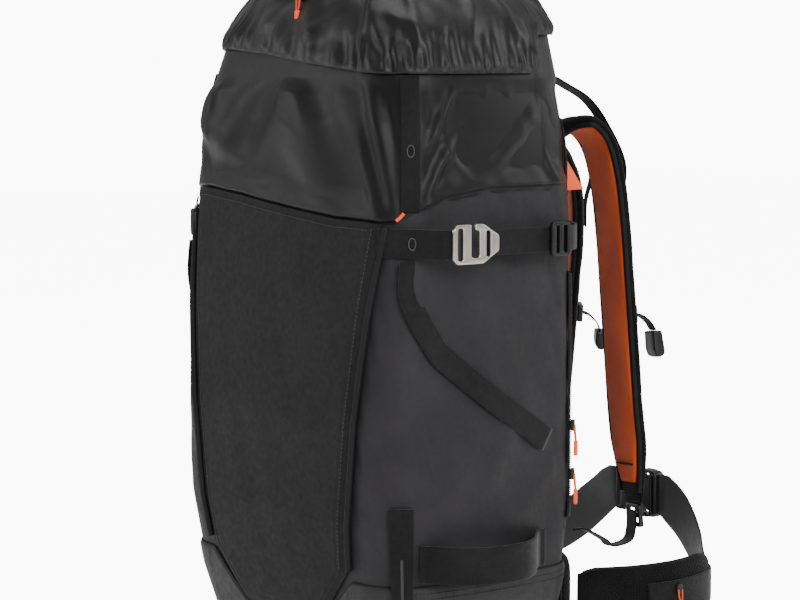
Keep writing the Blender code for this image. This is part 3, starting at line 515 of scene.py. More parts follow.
finish_of("black_acetal", (0.004, 0.004, 0.0042), (0.007, 0.007, 0.0072), (0.28, 0.4),
          grain=0.06, fine=900.0)
finish_of("grey_acetal", (0.2, 0.2, 0.205), (0.27, 0.27, 0.275), (0.3, 0.42), grain=0.05, fine=900.0)
finish_of("anodised", (0.36, 0.325, 0.285), (0.46, 0.42, 0.37), (0.26, 0.4),
          metal=1.0, grain=0.03, fine=1200.0)
finish_of("frame_bar", (0.55, 0.55, 0.57), (0.66, 0.66, 0.67), (0.3, 0.45), metal=1.0, grain=0.03)
finish_of("frame_board", (0.06, 0.06, 0.065), (0.09, 0.09, 0.095), (0.4, 0.55), grain=0.1)
finish_of("thread", (0.012, 0.0115, 0.012), (0.022, 0.021, 0.022), (0.5, 0.7))
finish_of("ring_thread", (0.03, 0.029, 0.03), (0.048, 0.046, 0.048), (0.5, 0.7))
print(len(FINISH), "finishes")

# %% [markdown]
# ## The bag's form
# The bag is a rounded oblong tube.  A place on it is (s, z): s goes once round in eight
# steps, a wall and a corner in turn, starting at the left end of the front.  Seams, straps
# and zips are all laid out in s and z, so they stay on the wall.

# %% A rounded oblong tube whose size changes with height
CROWN = 5.0


class Form:
    """Half width, front, back and corner radius come from a table of heights.

    Walls bow out by CROWN * (1 - (2t - 1)^2) along their length.
    """

    def __init__(self, levels, base, rise, ease):
        table = np.array(levels)
        self.heights = base + table[:, 0] * rise
        self.scale = table[:, 1:] * (BAG_HALF, BAG_FRONT, BAG_BACK, 1.0)
        self.ease = ease

    def size(self, z):
        """The table read three times, `ease` apart, and averaged, so that its corners are round."""
        near = np.stack([z - self.ease, z, z + self.ease])
        return [np.interp(near, self.heights, self.scale[:, k]).mean(axis=0) for k in range(4)]

    def frame(self, s, z):
        """Points and outward directions at (s, z)."""
        s, z = np.broadcast_arrays(np.asarray(s, float) % 8.0, np.asarray(z, float))
        half, front, back, radius = self.size(z)
        part = np.floor(s)
        t = s - part
        flat = half - radius
        deep = front + back - 2 * radius
        bulge = CROWN * (1 - (2 * t - 1) ** 2)
        turn = (part - 3) * math.pi / 4 + t * math.pi / 2
        corner_x = np.where(part < 4, flat, -flat) + radius * np.cos(turn)
        corner_y = np.where((part == 1) | (part == 7), radius - front, back - radius) + radius * np.sin(turn)
        walls = [part == 0, part == 2, part == 4, part == 6]
        wall_x = [flat * (2 * t - 1), half + 0.6 * bulge, flat * (1 - 2 * t), -half - 0.6 * bulge]
        wall_y = [-front - bulge, radius - front + t * deep, back + 0 * t, back - radius - t * deep]
        x, y = np.select(walls, wall_x, corner_x), np.select(walls, wall_y, corner_y)
        nx = np.select(walls, [0 * t, 1 + 0 * t, 0 * t, -1 + 0 * t], np.cos(turn))
        ny = np.select(walls, [-1 + 0 * t, 0 * t, 1 + 0 * t, 0 * t], np.sin(turn))
        return np.stack([x, y, z], axis=-1), np.stack([nx, ny, 0 * z], axis=-1)

    def at(self, s, z, out=0.0):
        points, outward = self.frame(s, z)
        return points + outward * np.asarray(out, float)[..., None]

    def s_of_x(self, x, z):
        """The s on the front wall, or on its corners, that lies at x."""
        half, _, _, radius = self.size(np.asarray(z, float))
        flat = half - radius
        turn = np.arcsin(np.clip((np.abs(x) - flat) / radius, 0, 1)) / (math.pi / 2)
        return np.where(np.abs(x) <= flat, (x / flat + 1) / 2, np.where(x > 0, 1 + turn, -turn))


BASE_RISE = 2.4
BAG_LEVELS = ((0, .72, .60, .70, 40), (.01, .82, .72, .84, 42), (.035, .89, .82, .93, 42),
              (.11, .94, .905, .985, 42),
              (.24, 1, .985, 1, 44), (.40, 1, 1, 1, 44), (.56, 1, .965, 1, 44), (.715, .993, .90, 1, 45),
              (.86, .975, .885, 1, 50), (.93, .92, .84, 1, 52), (1, .85, .77, .985, 50))
LID_LEVELS = ((-.36, .918, .840, 1, 52), (-.18, .885, .808, 1, 51), (0, .853, .775, 1, 50),
              (.20, .785, .69, 1, 48),
              (.32, .735, .64, .985, 46), (.54, .64, .54, .92, 42), (.74, .52, .41, .82, 36),
              (.90, .37, .24, .66, 28),
              (1, .19, .06, .44, 16))
CROWN_Z = node_box("lid")[1][2]
HINGE_Z = RIM + 2.0
BAG = Form(BAG_LEVELS, BASE_RISE, RIM - BASE_RISE, 3.0)
LID = Form(LID_LEVELS, HINGE_Z, CROWN_Z - HINGE_Z, 4.0)
AROUND = np.linspace(0, 8, 384, endpoint=False)
round_length = np.linalg.norm(np.diff(BAG.at(AROUND, 200.0), axis=0), axis=1).sum()
print(f"the bag is {round_length:.0f} mm round at its widest")

# %% [markdown]
# ## Folds
# Loaded cloth hangs from what holds it.  A fold runs from one held point towards another,
# highest in its middle and fading at both ends, so each is given by its two ends, a width
# and a height.

# %% Ridges between pairs of places


def fold(s, z, start, end, width, height):
    """height * exp(-(d / width)^2) * sin(pi * q)^0.7, with d the distance and q the share along.

    One unit of s counts as 90 mm.
    """
    px, pz = (s - start[0]) * 90.0, z - start[1]
    dx, dz = (end[0] - start[0]) * 90.0, end[1] - start[1]
    length = math.hypot(dx, dz)
    q = np.clip((px * dx + pz * dz) / length ** 2, 0, 1)
    away = np.hypot(px - q * dx, pz - q * dz)
    fade = np.sin(np.pi * np.clip(q, 0.02, 0.98)) ** 0.7
    return height * np.exp(-(away / width) ** 2) * fade


def ripple(s, z, seed, long=26.0, tall=60.0):
    """Small unevenness of sewn cloth: five crossing waves whose phases come from the seed."""
    rng = np.random.default_rng(seed)
    k = rng.uniform(0.6, 1.6, (5, 2))
    phase = rng.uniform(0, TAU, 5)
    waves = [np.sin(TAU * (k[i, 0] * s * 90 / long + k[i, 1] * z / tall) + phase[i]) for i in range(5)]
    return sum(waves) / 5


middle = float(fold(np.array(0.5), np.array(450.0), (0.5, 500), (0.5, 400), 10, 5.0))
print(f"a fold given 5 mm is {middle:.1f} mm high in its middle")


# %% [markdown]
# ## Bag cloth
# The body of the pack is coated nylon, sewn inside out and turned, so its seams are rolled
# edges.  It is pulled down by the load between the lid's hem and the stiff panel, which
# leaves long diagonal folds there.  Everywhere that something lies on it, the cloth is flat.

# %% Outside of the bag with its folds
BAG_WALL = 3.0
PANEL_TOP = node_box("front_panel")[1][2]
UPPER_FOLDS = (
    ((0.50, 500), (0.82, 360), 13, 11.0), ((0.80, 488), (1.14, 372), 9, 5.0),
    ((1.10, 484), (1.42, 368), 10, 6.0),
    ((0.10, 500), (-0.30, 384), 14, 8.0), ((-0.55, 486), (-0.80, 384), 11, 5.0),
    ((-0.42, 492), (0.22, 398), 11, 6.5), ((0.34, 494), (0.02, 396), 8, 5.5),
    ((0.62, 470), (0.30, 390), 8, 5.0),
    ((2.05, 470), (1.74, 416), 5, 5.0), ((2.1, 436), (1.72, 380), 6, 5.5), ((3.1, 458), (2.25, 392), 8, 4.4),
    ((1.75, 440), (2.5, 366), 7, 3.6), ((2.95, 430), (3.35, 350), 7, 3.0), ((4.9, 458), (5.7, 392), 9, 4.8),
    ((5.9, 466), (5.1, 380), 8, 4.4), ((6.1, 460), (7.0, 388), 8, 4.6), ((6.9, 440), (7.5, 380), 7, 4.0))
LOW_FOLDS = (
    ((1.95, 320), (2.75, 250), 10, 3.2), ((2.2, 350), (3.0, 300), 9, 2.8), ((1.9, 250), (2.6, 150), 12, 3.4),
    ((2.9, 240), (2.2, 120), 11, 3.0), ((3.2, 180), (2.5, 100), 10, 2.6), ((5.1, 320), (5.9, 240), 10, 3.0),
    ((6.0, 250), (5.2, 150), 12, 3.4), ((5.0, 180), (5.8, 100), 10, 2.6))


SEAM_S = (-2.0, -0.9, -0.62, -0.30, 0.0, 0.25, 0.55, 0.85, 1.30, 1.46, 1.62, 2.0, 2.4, 3.2, 4.0, 5.0, 6.0)
SEAM_Z = (388, 372, 374, 381, 382, 378, 371, 365, 363, 364, 370, 382, 388, 388, 388, 388, 388)


def seam_height(s):
    """The seam under the upper cloth: it sags to the right corner and climbs along the sides."""
    return np.interp(np.where(s > 6.5, s - 8, s), SEAM_S, SEAM_Z)


def bag_relief(s, z):
    """How far the cloth stands from the layout's wall, never past what lies on it."""
    wrapped = np.where(s > 7, s - 8, s)
    upper = sum(fold(wrapped, z, *given) + fold(s, z, *given) * (np.abs(wrapped - s) > 1)
                for given in UPPER_FOLDS)
    low = sum(fold(s, z, *given) for given in LOW_FOLDS)
    above = z - seam_height(s)
    free = smoothstep(above, 0, 16) * (1 - smoothstep(z, 462, 476))
    side = smoothstep(s, 1.7, 1.95) * (1 - smoothstep(s, 3.05, 3.3))
    side = side + smoothstep(s, 4.7, 4.95) * (1 - smoothstep(s, 6.05, 6.3))
    back = smoothstep(s, 3.5, 3.9) * (1 - smoothstep(s, 4.1, 4.5))
    lip = 3.2 * smoothstep(above, -0.6, 3.0) * (1 - smoothstep(above, 6, 26))
    lip = lip - 1.2 * np.exp(-((above + 2) / 2.4) ** 2)
    lift = upper * free + low * side * (1 - smoothstep(z, 350, 372)) * smoothstep(z, 84, 104)
    lift = lift + lip * (1 - smoothstep(np.abs(s - 4), 0.9, 0.4))
    soft = ripple(s, z, 5) * 0.8 * (1 - back) * smoothstep(z, 84, 110) * (1 - smoothstep(z, 462, 476))
    slack = -2.6 * (free + 0.8 * side * smoothstep(z, 84, 120) * (1 - smoothstep(z, 450, 470)))
    strap = np.exp(-((s - CORNER_S) / 0.17) ** 4) + np.exp(-((s - (9 - CORNER_S)) / 0.17) ** 4)
    return np.minimum((lift + soft + slack) * (1 - np.clip(strap, 0, 1)), 8.0)


CORNER_S = 1.575
rows = np.concatenate([[BASE_RISE], np.linspace(BASE_RISE + 3, 80, 12), np.linspace(84, 350, 70),
                       np.linspace(351.5, RIM, 130)])
s_grid, z_grid = np.meshgrid(AROUND, rows)
behind_panel = np.abs(BAG.at(s_grid, z_grid)[..., 0]) < 124
covered = behind_panel & (z_grid < seam_height(s_grid)) & ((s_grid < 1.6) | (s_grid > 7.4))
relief = np.where(covered, np.minimum(bag_relief(s_grid, z_grid), 0.2), bag_relief(s_grid, z_grid))
outside = BAG.at(s_grid, z_grid, relief)
s_in, z_in = np.meshgrid(AROUND, np.linspace(RIM - 0.4, 8.0, 14))
inside = BAG.at(s_in, z_in, -BAG_WALL)
bag_cloth = hollow("bag_cloth", np.concatenate([outside, inside]), "coated_nylon", "bag")
bag_cloth.data.materials.append(FINISH["side_cloth"])
cells = np.arange(len(bag_cloth.data.polygons))
row, column = np.divmod(cells, len(AROUND))
lower = (row < len(rows) - 1) & (rows[np.minimum(row, len(rows) - 1)] < seam_height(AROUND)[column])
bag_cloth.data.polygons.foreach_set("material_index", lower.astype(np.int32))
dress("coated_cloth", bag_cloth, stands_for="main_bag")
print(f"bag cloth: relief {relief.min():.1f} to {relief.max():.1f} mm")

# %% [markdown]
# ## Front panel and its piping
# The stiff panel is laminated cloth over foam, moulded to the front.  Its edge is pressed
# thin where it is sewn down, and a round piping covers the seam on both sides.

# %% Moulded panel
PANEL_FOOT, PANEL_CUT = node_box("front_panel")[0][2], 84.0
PANEL_SEAT, PANEL_THICK = 0.9, 3.0


def panel_half(z):
    """Half width at a height: 126 mm at the top, 92 at the cut corners, 52 at the foot."""
    return np.interp(z, (PANEL_FOOT, PANEL_CUT, PANEL_TOP), (52.0, 92.0, 126.0))


def panel_grid(share, z, out):
    """Points of the panel: share -1 to 1 across its width."""
    half = panel_half(z) * share
    return BAG.at(BAG.s_of_x(half, z), z, out)


share, climb = np.meshgrid(np.sin(np.linspace(-1, 1, 150) * math.pi / 2) * 0.25 + np.linspace(-1, 1, 150)
                           * 0.75,
                           np.linspace(0, 1, 200))
top_edge = seam_height(BAG.s_of_x(share * panel_half(PANEL_TOP), PANEL_TOP)) - 0.5
z_grid = PANEL_FOOT + climb * (top_edge - PANEL_FOOT)
edge = np.minimum((1 - np.abs(share)) * panel_half(z_grid),
                  np.minimum(top_edge - z_grid, z_grid - PANEL_FOOT))
face = PANEL_SEAT + 1.0 + (PANEL_THICK - 1.0) * smoothstep(edge, 0,
                                                           9) - 0.45 * np.exp(-((edge - 9.5) / 1.2) ** 2)
dent = 0.5 * ripple(share * 1.3, z_grid, 11, 70, 160) * smoothstep(edge, 10, 40)
front = panel_grid(share, z_grid, face + dent)
panel = slab("front_panel_cloth", panel_grid(share, z_grid, PANEL_SEAT), front, "panel_cloth", "bag")
dress("panel_cloth", panel, stands_for="front_panel")
print(f"panel: {PANEL_FOOT:.0f} to {top_edge.max():.0f} mm high,",
      f"{2 * panel_half(PANEL_TOP):.0f} mm wide at the top")

# %% [markdown]
# The panel is held by a row of stitches inside its edge.  Each long side is hidden by a
# piping: a cord wrapped in the panel's cloth.

# %% Stitching round the panel, and the piping
for word, side in (("right", 1), ("left", -1)):
    z = np.linspace(PANEL_CUT + 3, PANEL_TOP - 5, 90)
    inset = panel_grid(side * (1 - 7.0 / panel_half(z)), z, PANEL_SEAT + PANEL_THICK - 0.35)
    outward = BAG.frame(BAG.s_of_x(side * 110.0, z), z)[1]
    dress("panel_cloth", stitch_row(f"panel_stitching_{word}", inset, outward, "bag"))
    x = side * (panel_half(z) + 3.7)
    ridge = tube(f"piping_{word}", BAG.at(BAG.s_of_x(x, z), z, 3.2), 5.4, "panel_cloth", "bag")
    dress("panel_cloth", ridge, stands_for=f"panel_piping_{word}")
across = np.linspace(-0.93, 0.93, 90)
z = seam_height(BAG.s_of_x(across * panel_half(PANEL_TOP), PANEL_TOP)) - 6.5
inset = panel_grid(across, z, PANEL_SEAT + PANEL_THICK - 0.35)
dress("panel_cloth", stitch_row("panel_stitching_top", inset, (0, -1, 0), "bag"))
print("stitched on three sides, with a piping left and right")

# %% [markdown]
# ## Base tray
# The bottom is a heavier woven cloth, cut so that its edge dips under the front panel, and
# stitched twice.

# %% Tray with its bound edge
BASE_TOP = node_box("base_panel")[1][2]


def base_top(s):
    """Height of the tray's edge: under the panel it dips to just above the panel's foot."""
    place = BAG.at(s, np.full_like(s, 80.0))
    share = np.clip((np.abs(place[..., 0]) - 52.0) / 44.0, 0, 1)
    dip = PANEL_FOOT - 4 + share * (BASE_TOP - PANEL_FOOT + 4)
    return np.where((s < 2) | (s > 7), np.minimum(dip, BASE_TOP), BASE_TOP)


tops = base_top(AROUND)
climb = np.concatenate([np.linspace(0, 1, 26), [1.0]])[:, None]
z_grid = BASE_RISE + climb * (tops - BASE_RISE)
swell = 0.8 + 2.0 * smoothstep((tops - z_grid), -0.1, 4) + 0.35 * ripple(AROUND[None], z_grid, 3, 40, 50)
floor = BAG.at(AROUND, np.full_like(AROUND, BASE_RISE), 2.8) * (1, 1, 0)
skin = np.concatenate([floor[None], BAG.at(AROUND[None], z_grid, np.maximum(swell, 1.0))[1:]])
lining_z = BASE_RISE + np.array([0.99, 0.6, 0.25, 0.0])[:, None] * (tops - BASE_RISE)
lining = BAG.at(AROUND[None], lining_z, 0.8)
lining[-1, :, 2] -= 0.4
base = hollow("base_tray", np.concatenate([skin, lining]), "base_cloth", "bag")
dress("base_cloth", base, stands_for="base_panel")
for number, drop in enumerate((6.0, 11.0)):
    s_side = np.linspace(1.62, 4.0, 240)
    for word, s in (("right", s_side), ("left", (9 - s_side) % 8)):
        line = BAG.at(s, base_top(s) - drop, 2.9)
        thread = stitch_row(f"base_stitching_{word}_{number}", line, BAG.frame(s, base_top(s))[1], "bag")
        dress("base_cloth", thread)
print(f"tray: edge at {tops.min():.0f} to {tops.max():.0f} mm")

# %% [markdown]
# ## Lid
# The lid is an elasticated cap of shiny coated nylon.  The elastic gathers its hem, so small
# pleats start at the edge and die out upwards, and a few long folds cross the crown.

# %% Cap with a gathered hem
LID_LAP, HEM_Z = 3.3, node_box("lid")[0][2]


def hem_height(s):
    """The skirt's edge: low in front and at the sides, above the hinge behind."""
    y = LID.at(s, np.full_like(s, 500.0))[..., 1]
    slump = np.interp(np.where(s > 6, s - 8, s), (-1.6, -0.5, 0.0, 0.33, 0.7, 1.05, 1.4),
                      (2, 19, 19, 15, 7, 1, 0))
    return HEM_Z + slump + (RIM - 1.5 - HEM_Z - slump) * smoothstep(y, 42, 54)


hem = hem_height(AROUND)
climb = np.linspace(0, 1, 110)[:, None] ** 0.9
z_grid = hem + climb * (CROWN_Z - 0.6 - hem)
s_grid = np.broadcast_to(AROUND, z_grid.shape)
above = z_grid - hem
pleat = np.sin(TAU * (s_grid * 6.5 + 0.5 * np.sin(TAU * s_grid * 0.9) + 0.012 * above))
pleat = pleat + 0.6 * np.sin(TAU * s_grid * 10.3 + 1.3 + 0.02 * above)
gather = 1.5 * pleat * np.exp(-(above / 24) ** 2) * smoothstep(above, -1, 8)
elastic = -0.8 * np.exp(-(above / 3) ** 2)
LID_FOLDS = (((0.1, 482), (0.6, 600), 8, 6.0), ((0.75, 484), (0.45, 585), 7, 7.0),
             ((1.05, 482), (1.25, 560), 5, 5.0),
             ((1.35, 484), (1.0, 600), 7, 7.0), ((1.75, 484), (1.45, 575), 6, 5.5),
             ((2.15, 486), (2.5, 590), 8, 6.0),
             ((2.9, 500), (2.5, 570), 6, 4.6), ((7.3, 486), (7.9, 590), 8, 6.0),
             ((6.3, 492), (6.8, 585), 8, 6.0),
             ((5.4, 500), (6.2, 570), 7, 5.0), ((0.45, 482), (0.95, 540), 5, 4.4),
             ((1.9, 510), (1.2, 530), 6, 4.6),
             ((3.4, 520), (3.9, 585), 9, 3.4), ((4.6, 520), (4.2, 580), 8, 3.4))
long_folds = 0.62 * sum(fold(s_grid, z_grid, *given) for given in LID_FOLDS) * smoothstep(above, 8, 26)
corners = smoothstep(s_grid, 1.15, 1.7) * (1 - smoothstep(s_grid, 3.3, 3.9))
corners = corners + smoothstep(9 - s_grid, 1.15, 1.7) * (1 - smoothstep(9 - s_grid, 3.3, 3.9))
shoulder = -13.0 * corners * smoothstep(z_grid, 519, 558) * (1 - smoothstep(z_grid, 575, CROWN_Z))
zip_flat = 1 - np.exp(-((z_grid - 541) / 7) ** 2) * (s_grid < 1.2)
top_fade = 1 - smoothstep(z_grid, CROWN_Z - 14, CROWN_Z - 2)
dome = LID.at(s_grid, z_grid, LID_LAP + gather + elastic + shoulder
              + ((long_folds - 2.0) * smoothstep(above, 8, 26)
                                                           + 1.0 * ripple(s_grid, z_grid, 21, 44, 40))
                                                           * zip_flat * top_fade)
centre = np.array([0.0, dome[-1, :, 1].mean(), CROWN_Z])
close = np.linspace(0.85, 0.04, 10)[:, None, None]
cap = centre + (dome[-1] - centre) * close * (1, 1, 0)
cap[..., 2] = CROWN_Z - 0.6 + 4.0 * (1 - close[..., 0] ** 2) * (1 + 0.25
                                                                * ripple(AROUND[None], cap[..., 2], 4, 60))
under_z = hem + np.array([0.93, 0.75, 0.5, 0.3, 0.12, 0.004])[:, None] * (CROWN_Z - 4 - hem)
under = LID.at(np.broadcast_to(AROUND, under_z.shape), under_z, 0.6 - 17.0 * smoothstep(under_z, 514, 545))
lid = hollow("lid_cloth", np.concatenate([under, dome, cap]), "lid_nylon", "lid")
dress("coated_cloth", lid, stands_for="lid")
print(f"lid: hem from {hem.min():.0f} to {hem.max():.0f} mm")

# %% [markdown]
# ## Webbing
# Narrow webbing is woven nylon, 1.6 mm thick, and every strap here is cut from it.  Each
# runs along its own few route points, joined by a smooth curve, and takes its rib pattern
# from the distance along the band.

# %% Corner and side webbing
WEB, WEB_THICK = 20.0, 1.6
UP = np.array([0.0, 0.0, 1.0])
SIDES = (("right", 1), ("left", -1))


def mirrored(points, side):
    """Points given for the right side, taken to the side asked for."""
    return np.asarray(points, float) * (side, 1, 1)


def on_bag(route, out):
    """A smooth path over the bag through (s, z) places, `out` mm off the wall."""
    route = curve_through(np.asarray(route, float), 10)
    return BAG.at(route[:, 0], route[:, 1], out)


for word, side in SIDES:
    z = np.linspace(372, 476, 60)
    path = mirrored(BAG.at(np.full_like(z, CORNER_S), z, 1.3), side)
    tangent = mirrored(BAG.at(CORNER_S + 0.02, 420.0, 0) - BAG.at(CORNER_S - 0.02, 420.0, 0), side)
    band = strip(f"corner_webbing_{word}", path, unit(tangent), 15.0, WEB_THICK, "webbing", "bag")
    dress("webbing", band, stands_for=f"corner_strip_{word}")
    path = mirrored(on_bag(((1.60, 334), (1.63, 306), (1.90, 272), (2.30, 236), (2.70, 204), (2.96, 184)),
                           1.7), side)
    wall = mirrored(BAG.frame(2.2, 250.0)[1], side)
    band = strip(f"side_webbing_{word}", path, np.cross(directions(path), wall), WEB, WEB_THICK, "webbing",
                 "bag")
    dress("webbing", band, stands_for=f"compression_{word}")

print("corner and side webbing on both sides")

# %% [markdown]
# The upper ski strap goes from a doubled tab at the front corner, through the hook and the
# ladder-lock, to an anchor at the rear.  It stands off the wall along the line that it has
# when a ski lies under it.

# %% Upper ski straps: tab, webbing and anchor
SKI_Z = 348.0
PLANE = 177.0
HOOK_FRONT = -72.0
TAB_X = PLANE - 1.6 - 0.4 - WEB_THICK
WEB_X = PLANE - 1.6 - 0.4 - WEB_THICK / 2
for word, side in SIDES:
    root = BAG.at(np.array([1.24, 1.28, 1.35, 1.42]), SKI_Z, WEB_THICK + 1.0)
    rise = [(152, -84, SKI_Z), (TAB_X - 4, HOOK_FRONT - 6, SKI_Z), (TAB_X, HOOK_FRONT, SKI_Z),
            (TAB_X, HOOK_FRONT + 9, SKI_Z)]
    tab = strip(f"ski_tab_webbing_{word}", mirrored(curve_through([*root, *rise]), side), UP, WEB + 3,
                2 * WEB_THICK, "webbing", "bag")
    dress("webbing", tab, stands_for=f"ski_tab_{word}")
    far = HOOK_FRONT + 47.0
    run = [(WEB_X, far - 9, SKI_Z), (WEB_X, far + 20, SKI_Z), (WEB_X, far + 62, SKI_Z)]
    band = strip(f"ski_webbing_{word}", mirrored(curve_through(run), side), UP, WEB, WEB_THICK, "webbing",
                 "bag")
    dress("webbing", band, stands_for=f"ski_strap_{word}")
    ladder_y = far + 54.0
    last = BAG.at(np.array([3.62, 3.72, 3.80]), SKI_Z, 1.6)
    run = [(WEB_X, ladder_y + 12, SKI_Z), (WEB_X - 1, ladder_y + 26, SKI_Z),
           (WEB_X - 16, ladder_y + 44, SKI_Z)]
    anchor = strip(f"ski_anchor_webbing_{word}", mirrored(curve_through([*run, *last]), side), UP, WEB,
                   WEB_THICK, "webbing", "bag")
    dress("webbing", anchor, stands_for=f"ski_anchor_{word}")
print(f"upper ski straps {SKI_Z:.0f} mm up, their hooks {PLANE:.0f} mm from the middle")

# %% [markdown]
# The tail of a ski drops into a wide loop near the base.  Beside it hangs a narrower one,
# with a grey stripe, for the shaft of an ice axe.

# %% Lower ski loops and the ice-axe loop
LOOP = ((1.77, 4.3), (1.84, 5.0), (1.94, 13.0), (2.04, 25.2), (2.18, 33.8), (2.36, 36.0),
        (2.54, 33.8), (2.68, 25.2), (2.79, 13.0), (2.88, 5.0), (2.94, 4.3))
for word, side in SIDES:
    route = curve_through(LOOP, 8)
    path = mirrored(BAG.at(route[:, 0], 97.0, np.maximum(route[:, 1], 4.3)), side)
    loop = strip(f"ski_loop_webbing_{word}", path, UP, 30.0, WEB_THICK + 0.8, "webbing", "bag")
    dress("webbing", loop, stands_for=f"ski_loop_{word}")
route = curve_through(((142, 2.6), (120, 2.6), (98, 3.4), (80, 6.0), (60, 8.0), (36, 9.0)), 10)
path = BAG.at(CORNER_S, route[:, 0], route[:, 1])
side_on = BAG.frame(CORNER_S, 90.0)[1]
axe = strip("ice_axe_webbing", path, np.cross(side_on, UP), np.linspace(WEB, WEB - 5, 12), 3.0, "webbing",
            "bag")
dress("webbing", axe, stands_for="ice_axe_loop")
stripe = strip("ice_axe_stripe", BAG.at(CORNER_S, route[18:, 0], route[18:, 1] + 1.55),
               np.cross(side_on, UP), 2.2, 0.5, "belt_webbing", "bag")

print(f"loops stand {max(out for _, out in LOOP):.0f} mm off the wall")

# %% [markdown]
# ## Moulded and punched hardware
# Buckles are drawn as outlines with holes.  Their corners are rounded first, because no
# moulding tool or punch leaves a sharp one.

# %% Outlines


def rounded(corners, radius, steps=6):
    """A polygon with each corner replaced by a parabola that starts and ends `radius` away."""
    p = np.asarray(corners, float)
    back, ahead = unit(np.roll(p, 1, 0) - p), unit(np.roll(p, -1, 0) - p)
    length = np.linalg.norm(np.roll(p, -1, 0) - p, axis=1)
    reach = np.minimum(np.roll(length, 1), length) * 0.45
    reach = np.minimum(reach, radius)[:, None]
    t = np.linspace(0, 1, steps)[None, :, None]
    a, b = (p + back * reach)[:, None], (p + ahead * reach)[:, None]
    return ((1 - t) ** 2 * a + 2 * t * (1 - t) * p[:, None] + t ** 2 * b).reshape(-1, 2)


def oblong(x, y, wide, tall, radius):
    """A rounded rectangle round (x, y)."""
    w, h = wide / 2, tall / 2
    return rounded(((x - w, y - h), (x + w, y - h), (x + w, y + h), (x - w, y + h)), radius)


print("a rounded slot has", len(oblong(0, 0, 4.0, 21.5, 1.2)), "corners")

# %% [markdown]
# A plate is its outline with the holes taken out, given a thickness and a rounded edge.
# That edge is what a mould leaves, and on the metal hooks it is a tumbled stamping.

# %% A plate from an outline with holes


def plate(name, loops, thick, centre, along, across, finish, body, bevel=0.6):
    """A flat plate: the first loop is its outline and the rest are holes."""
    curve = bpy.data.curves.new(name, "CURVE")
    curve.dimensions = "2D"
    curve.fill_mode = "BOTH"
    for loop in loops:
        line = curve.splines.new("POLY")
        line.points.add(len(loop) - 1)
        line.points.foreach_set("co", np.hstack([loop, np.zeros((len(loop), 1)),
                                                 np.ones((len(loop), 1))]).ravel())
        line.use_cyclic_u = True
    curve.extrude = thick / 2 - bevel
    curve.bevel_depth = bevel
    curve.bevel_resolution = 2
    curve.offset = -bevel
    drawn = bpy.data.objects.new(name + "_outline", curve)
    bpy.context.scene.collection.objects.link(drawn)
    graph = bpy.context.evaluated_depsgraph_get()
    mesh = bpy.data.meshes.new_from_object(drawn.evaluated_get(graph))
    bpy.data.objects.remove(drawn)
    shape = bmesh.new()
    shape.from_mesh(mesh)
    bmesh.ops.remove_doubles(shape, verts=shape.verts, dist=0.01)
    bmesh.ops.recalc_face_normals(shape, faces=shape.faces)
    shape.to_mesh(mesh)
    shape.free()
    co = coordinates(mesh)
    along, across = unit(along), unit(across)
    points = np.asarray(centre, float) + co[:, :1] * along + co[:, 1:2] * across
    points = points + co[:, 2:] * np.cross(along, across)
    faces = [list(face.vertices) for face in mesh.polygons]
    piece = face_out(build(name, points, faces, co[:, :2], finish, body))
    bpy.data.meshes.remove(mesh)
    sharp = piece.modifiers.new("edges", "EDGE_SPLIT")
    sharp.split_angle = math.radians(40)
    return piece


print("plates are filled outlines with a bevel")

# %% [markdown]
# A ladder-lock grips webbing by its bars: the webbing goes up through one slot, over the
# middle bar and down through the other.

# %% A ladder-lock with its three bars


def ladder_lock(name, node, centre, along, across, body, length=20.0, height=27.0, thick=4.0):
    """Outline with two slots; each of its three bars is topped by a round bar that stands a little proud."""
    half, tall = length / 2, height / 2
    edge = rounded(((-half, -tall + 2), (-half + 2, -tall), (half - 2, -tall), (half, -tall + 2),
                    (half, tall - 2),
                    (half - 2, tall), (-half + 2, tall), (-half, tall - 2)), 2.0)
    slots = [oblong(x, 0, 4.0, 21.5, 1.2) for x in (-4.2, 4.2)]
    piece = plate(name, [edge, *slots], thick, centre, along, across, "black_acetal", body, 0.8)
    dress("plastic", piece, stands_for=node)
    out = unit(np.cross(along, across))
    centre, along, across = (np.asarray(v, float) for v in (centre, along, across))
    for number, x in enumerate((-8.3, 0.0, 8.3)):
        bar = np.linspace(-0.42, 0.42, 12)[:, None] * height * across
        bar = bar + centre + along * x + out * (thick / 2 - 0.5)
        dress("plastic", tube(f"{name}_bar_{number}", bar, 2.6, "black_acetal", body))
    return piece


print("ladder-locks take 20 mm webbing")

# %% [markdown]
# The hook is stamped from aluminium.  Its open end lets the strap's loop slip in with gloves
# on, and the slot at the other end holds the tab.

# %% Hooks and ladder-locks of the ski straps
HOOK = ((0, -11.5), (4, -15.5), (30, -15.5), (38, -10.5), (46, -6), (46, 6), (38, 10.5), (30, 15.5),
        (21.6, 15.5),
        (21.6, 10.5), (26, 10.5), (26, -10.5), (18, -10.5), (18, 15.5), (4, 15.5), (0, 11.5))
for word, side in SIDES:
    loops = [rounded(HOOK, 2.2), oblong(7.0, 0, 5.0, 25.0, 1.8), oblong(35.0, 0, 4.0, 20.0, 1.4)]
    hook = plate(f"hook_plate_{word}", loops, 3.2, (PLANE * side, HOOK_FRONT + 1, SKI_Z), (0, 1, 0), UP,
                 "anodised",
                 f"hook_{word}", 0.9)
    dress("hook_metal", hook, stands_for=f"hook_buckle_{word}")
    ladder_lock(f"ski_lock_{word}", f"ski_ladder_{word}", (177.4 * side, 39.0, SKI_Z), (0, side, 0), UP,
                "bag")

print("two hooks and two ladder-locks on the ski straps")

# %% [markdown]
# ## Shoulder straps
# Each strap is foam in a black cover, lined with orange cloth on the side that lies on the
# wearer, and bound along both edges.  Both swing about the line through their anchors.

# %% The strap's own plane


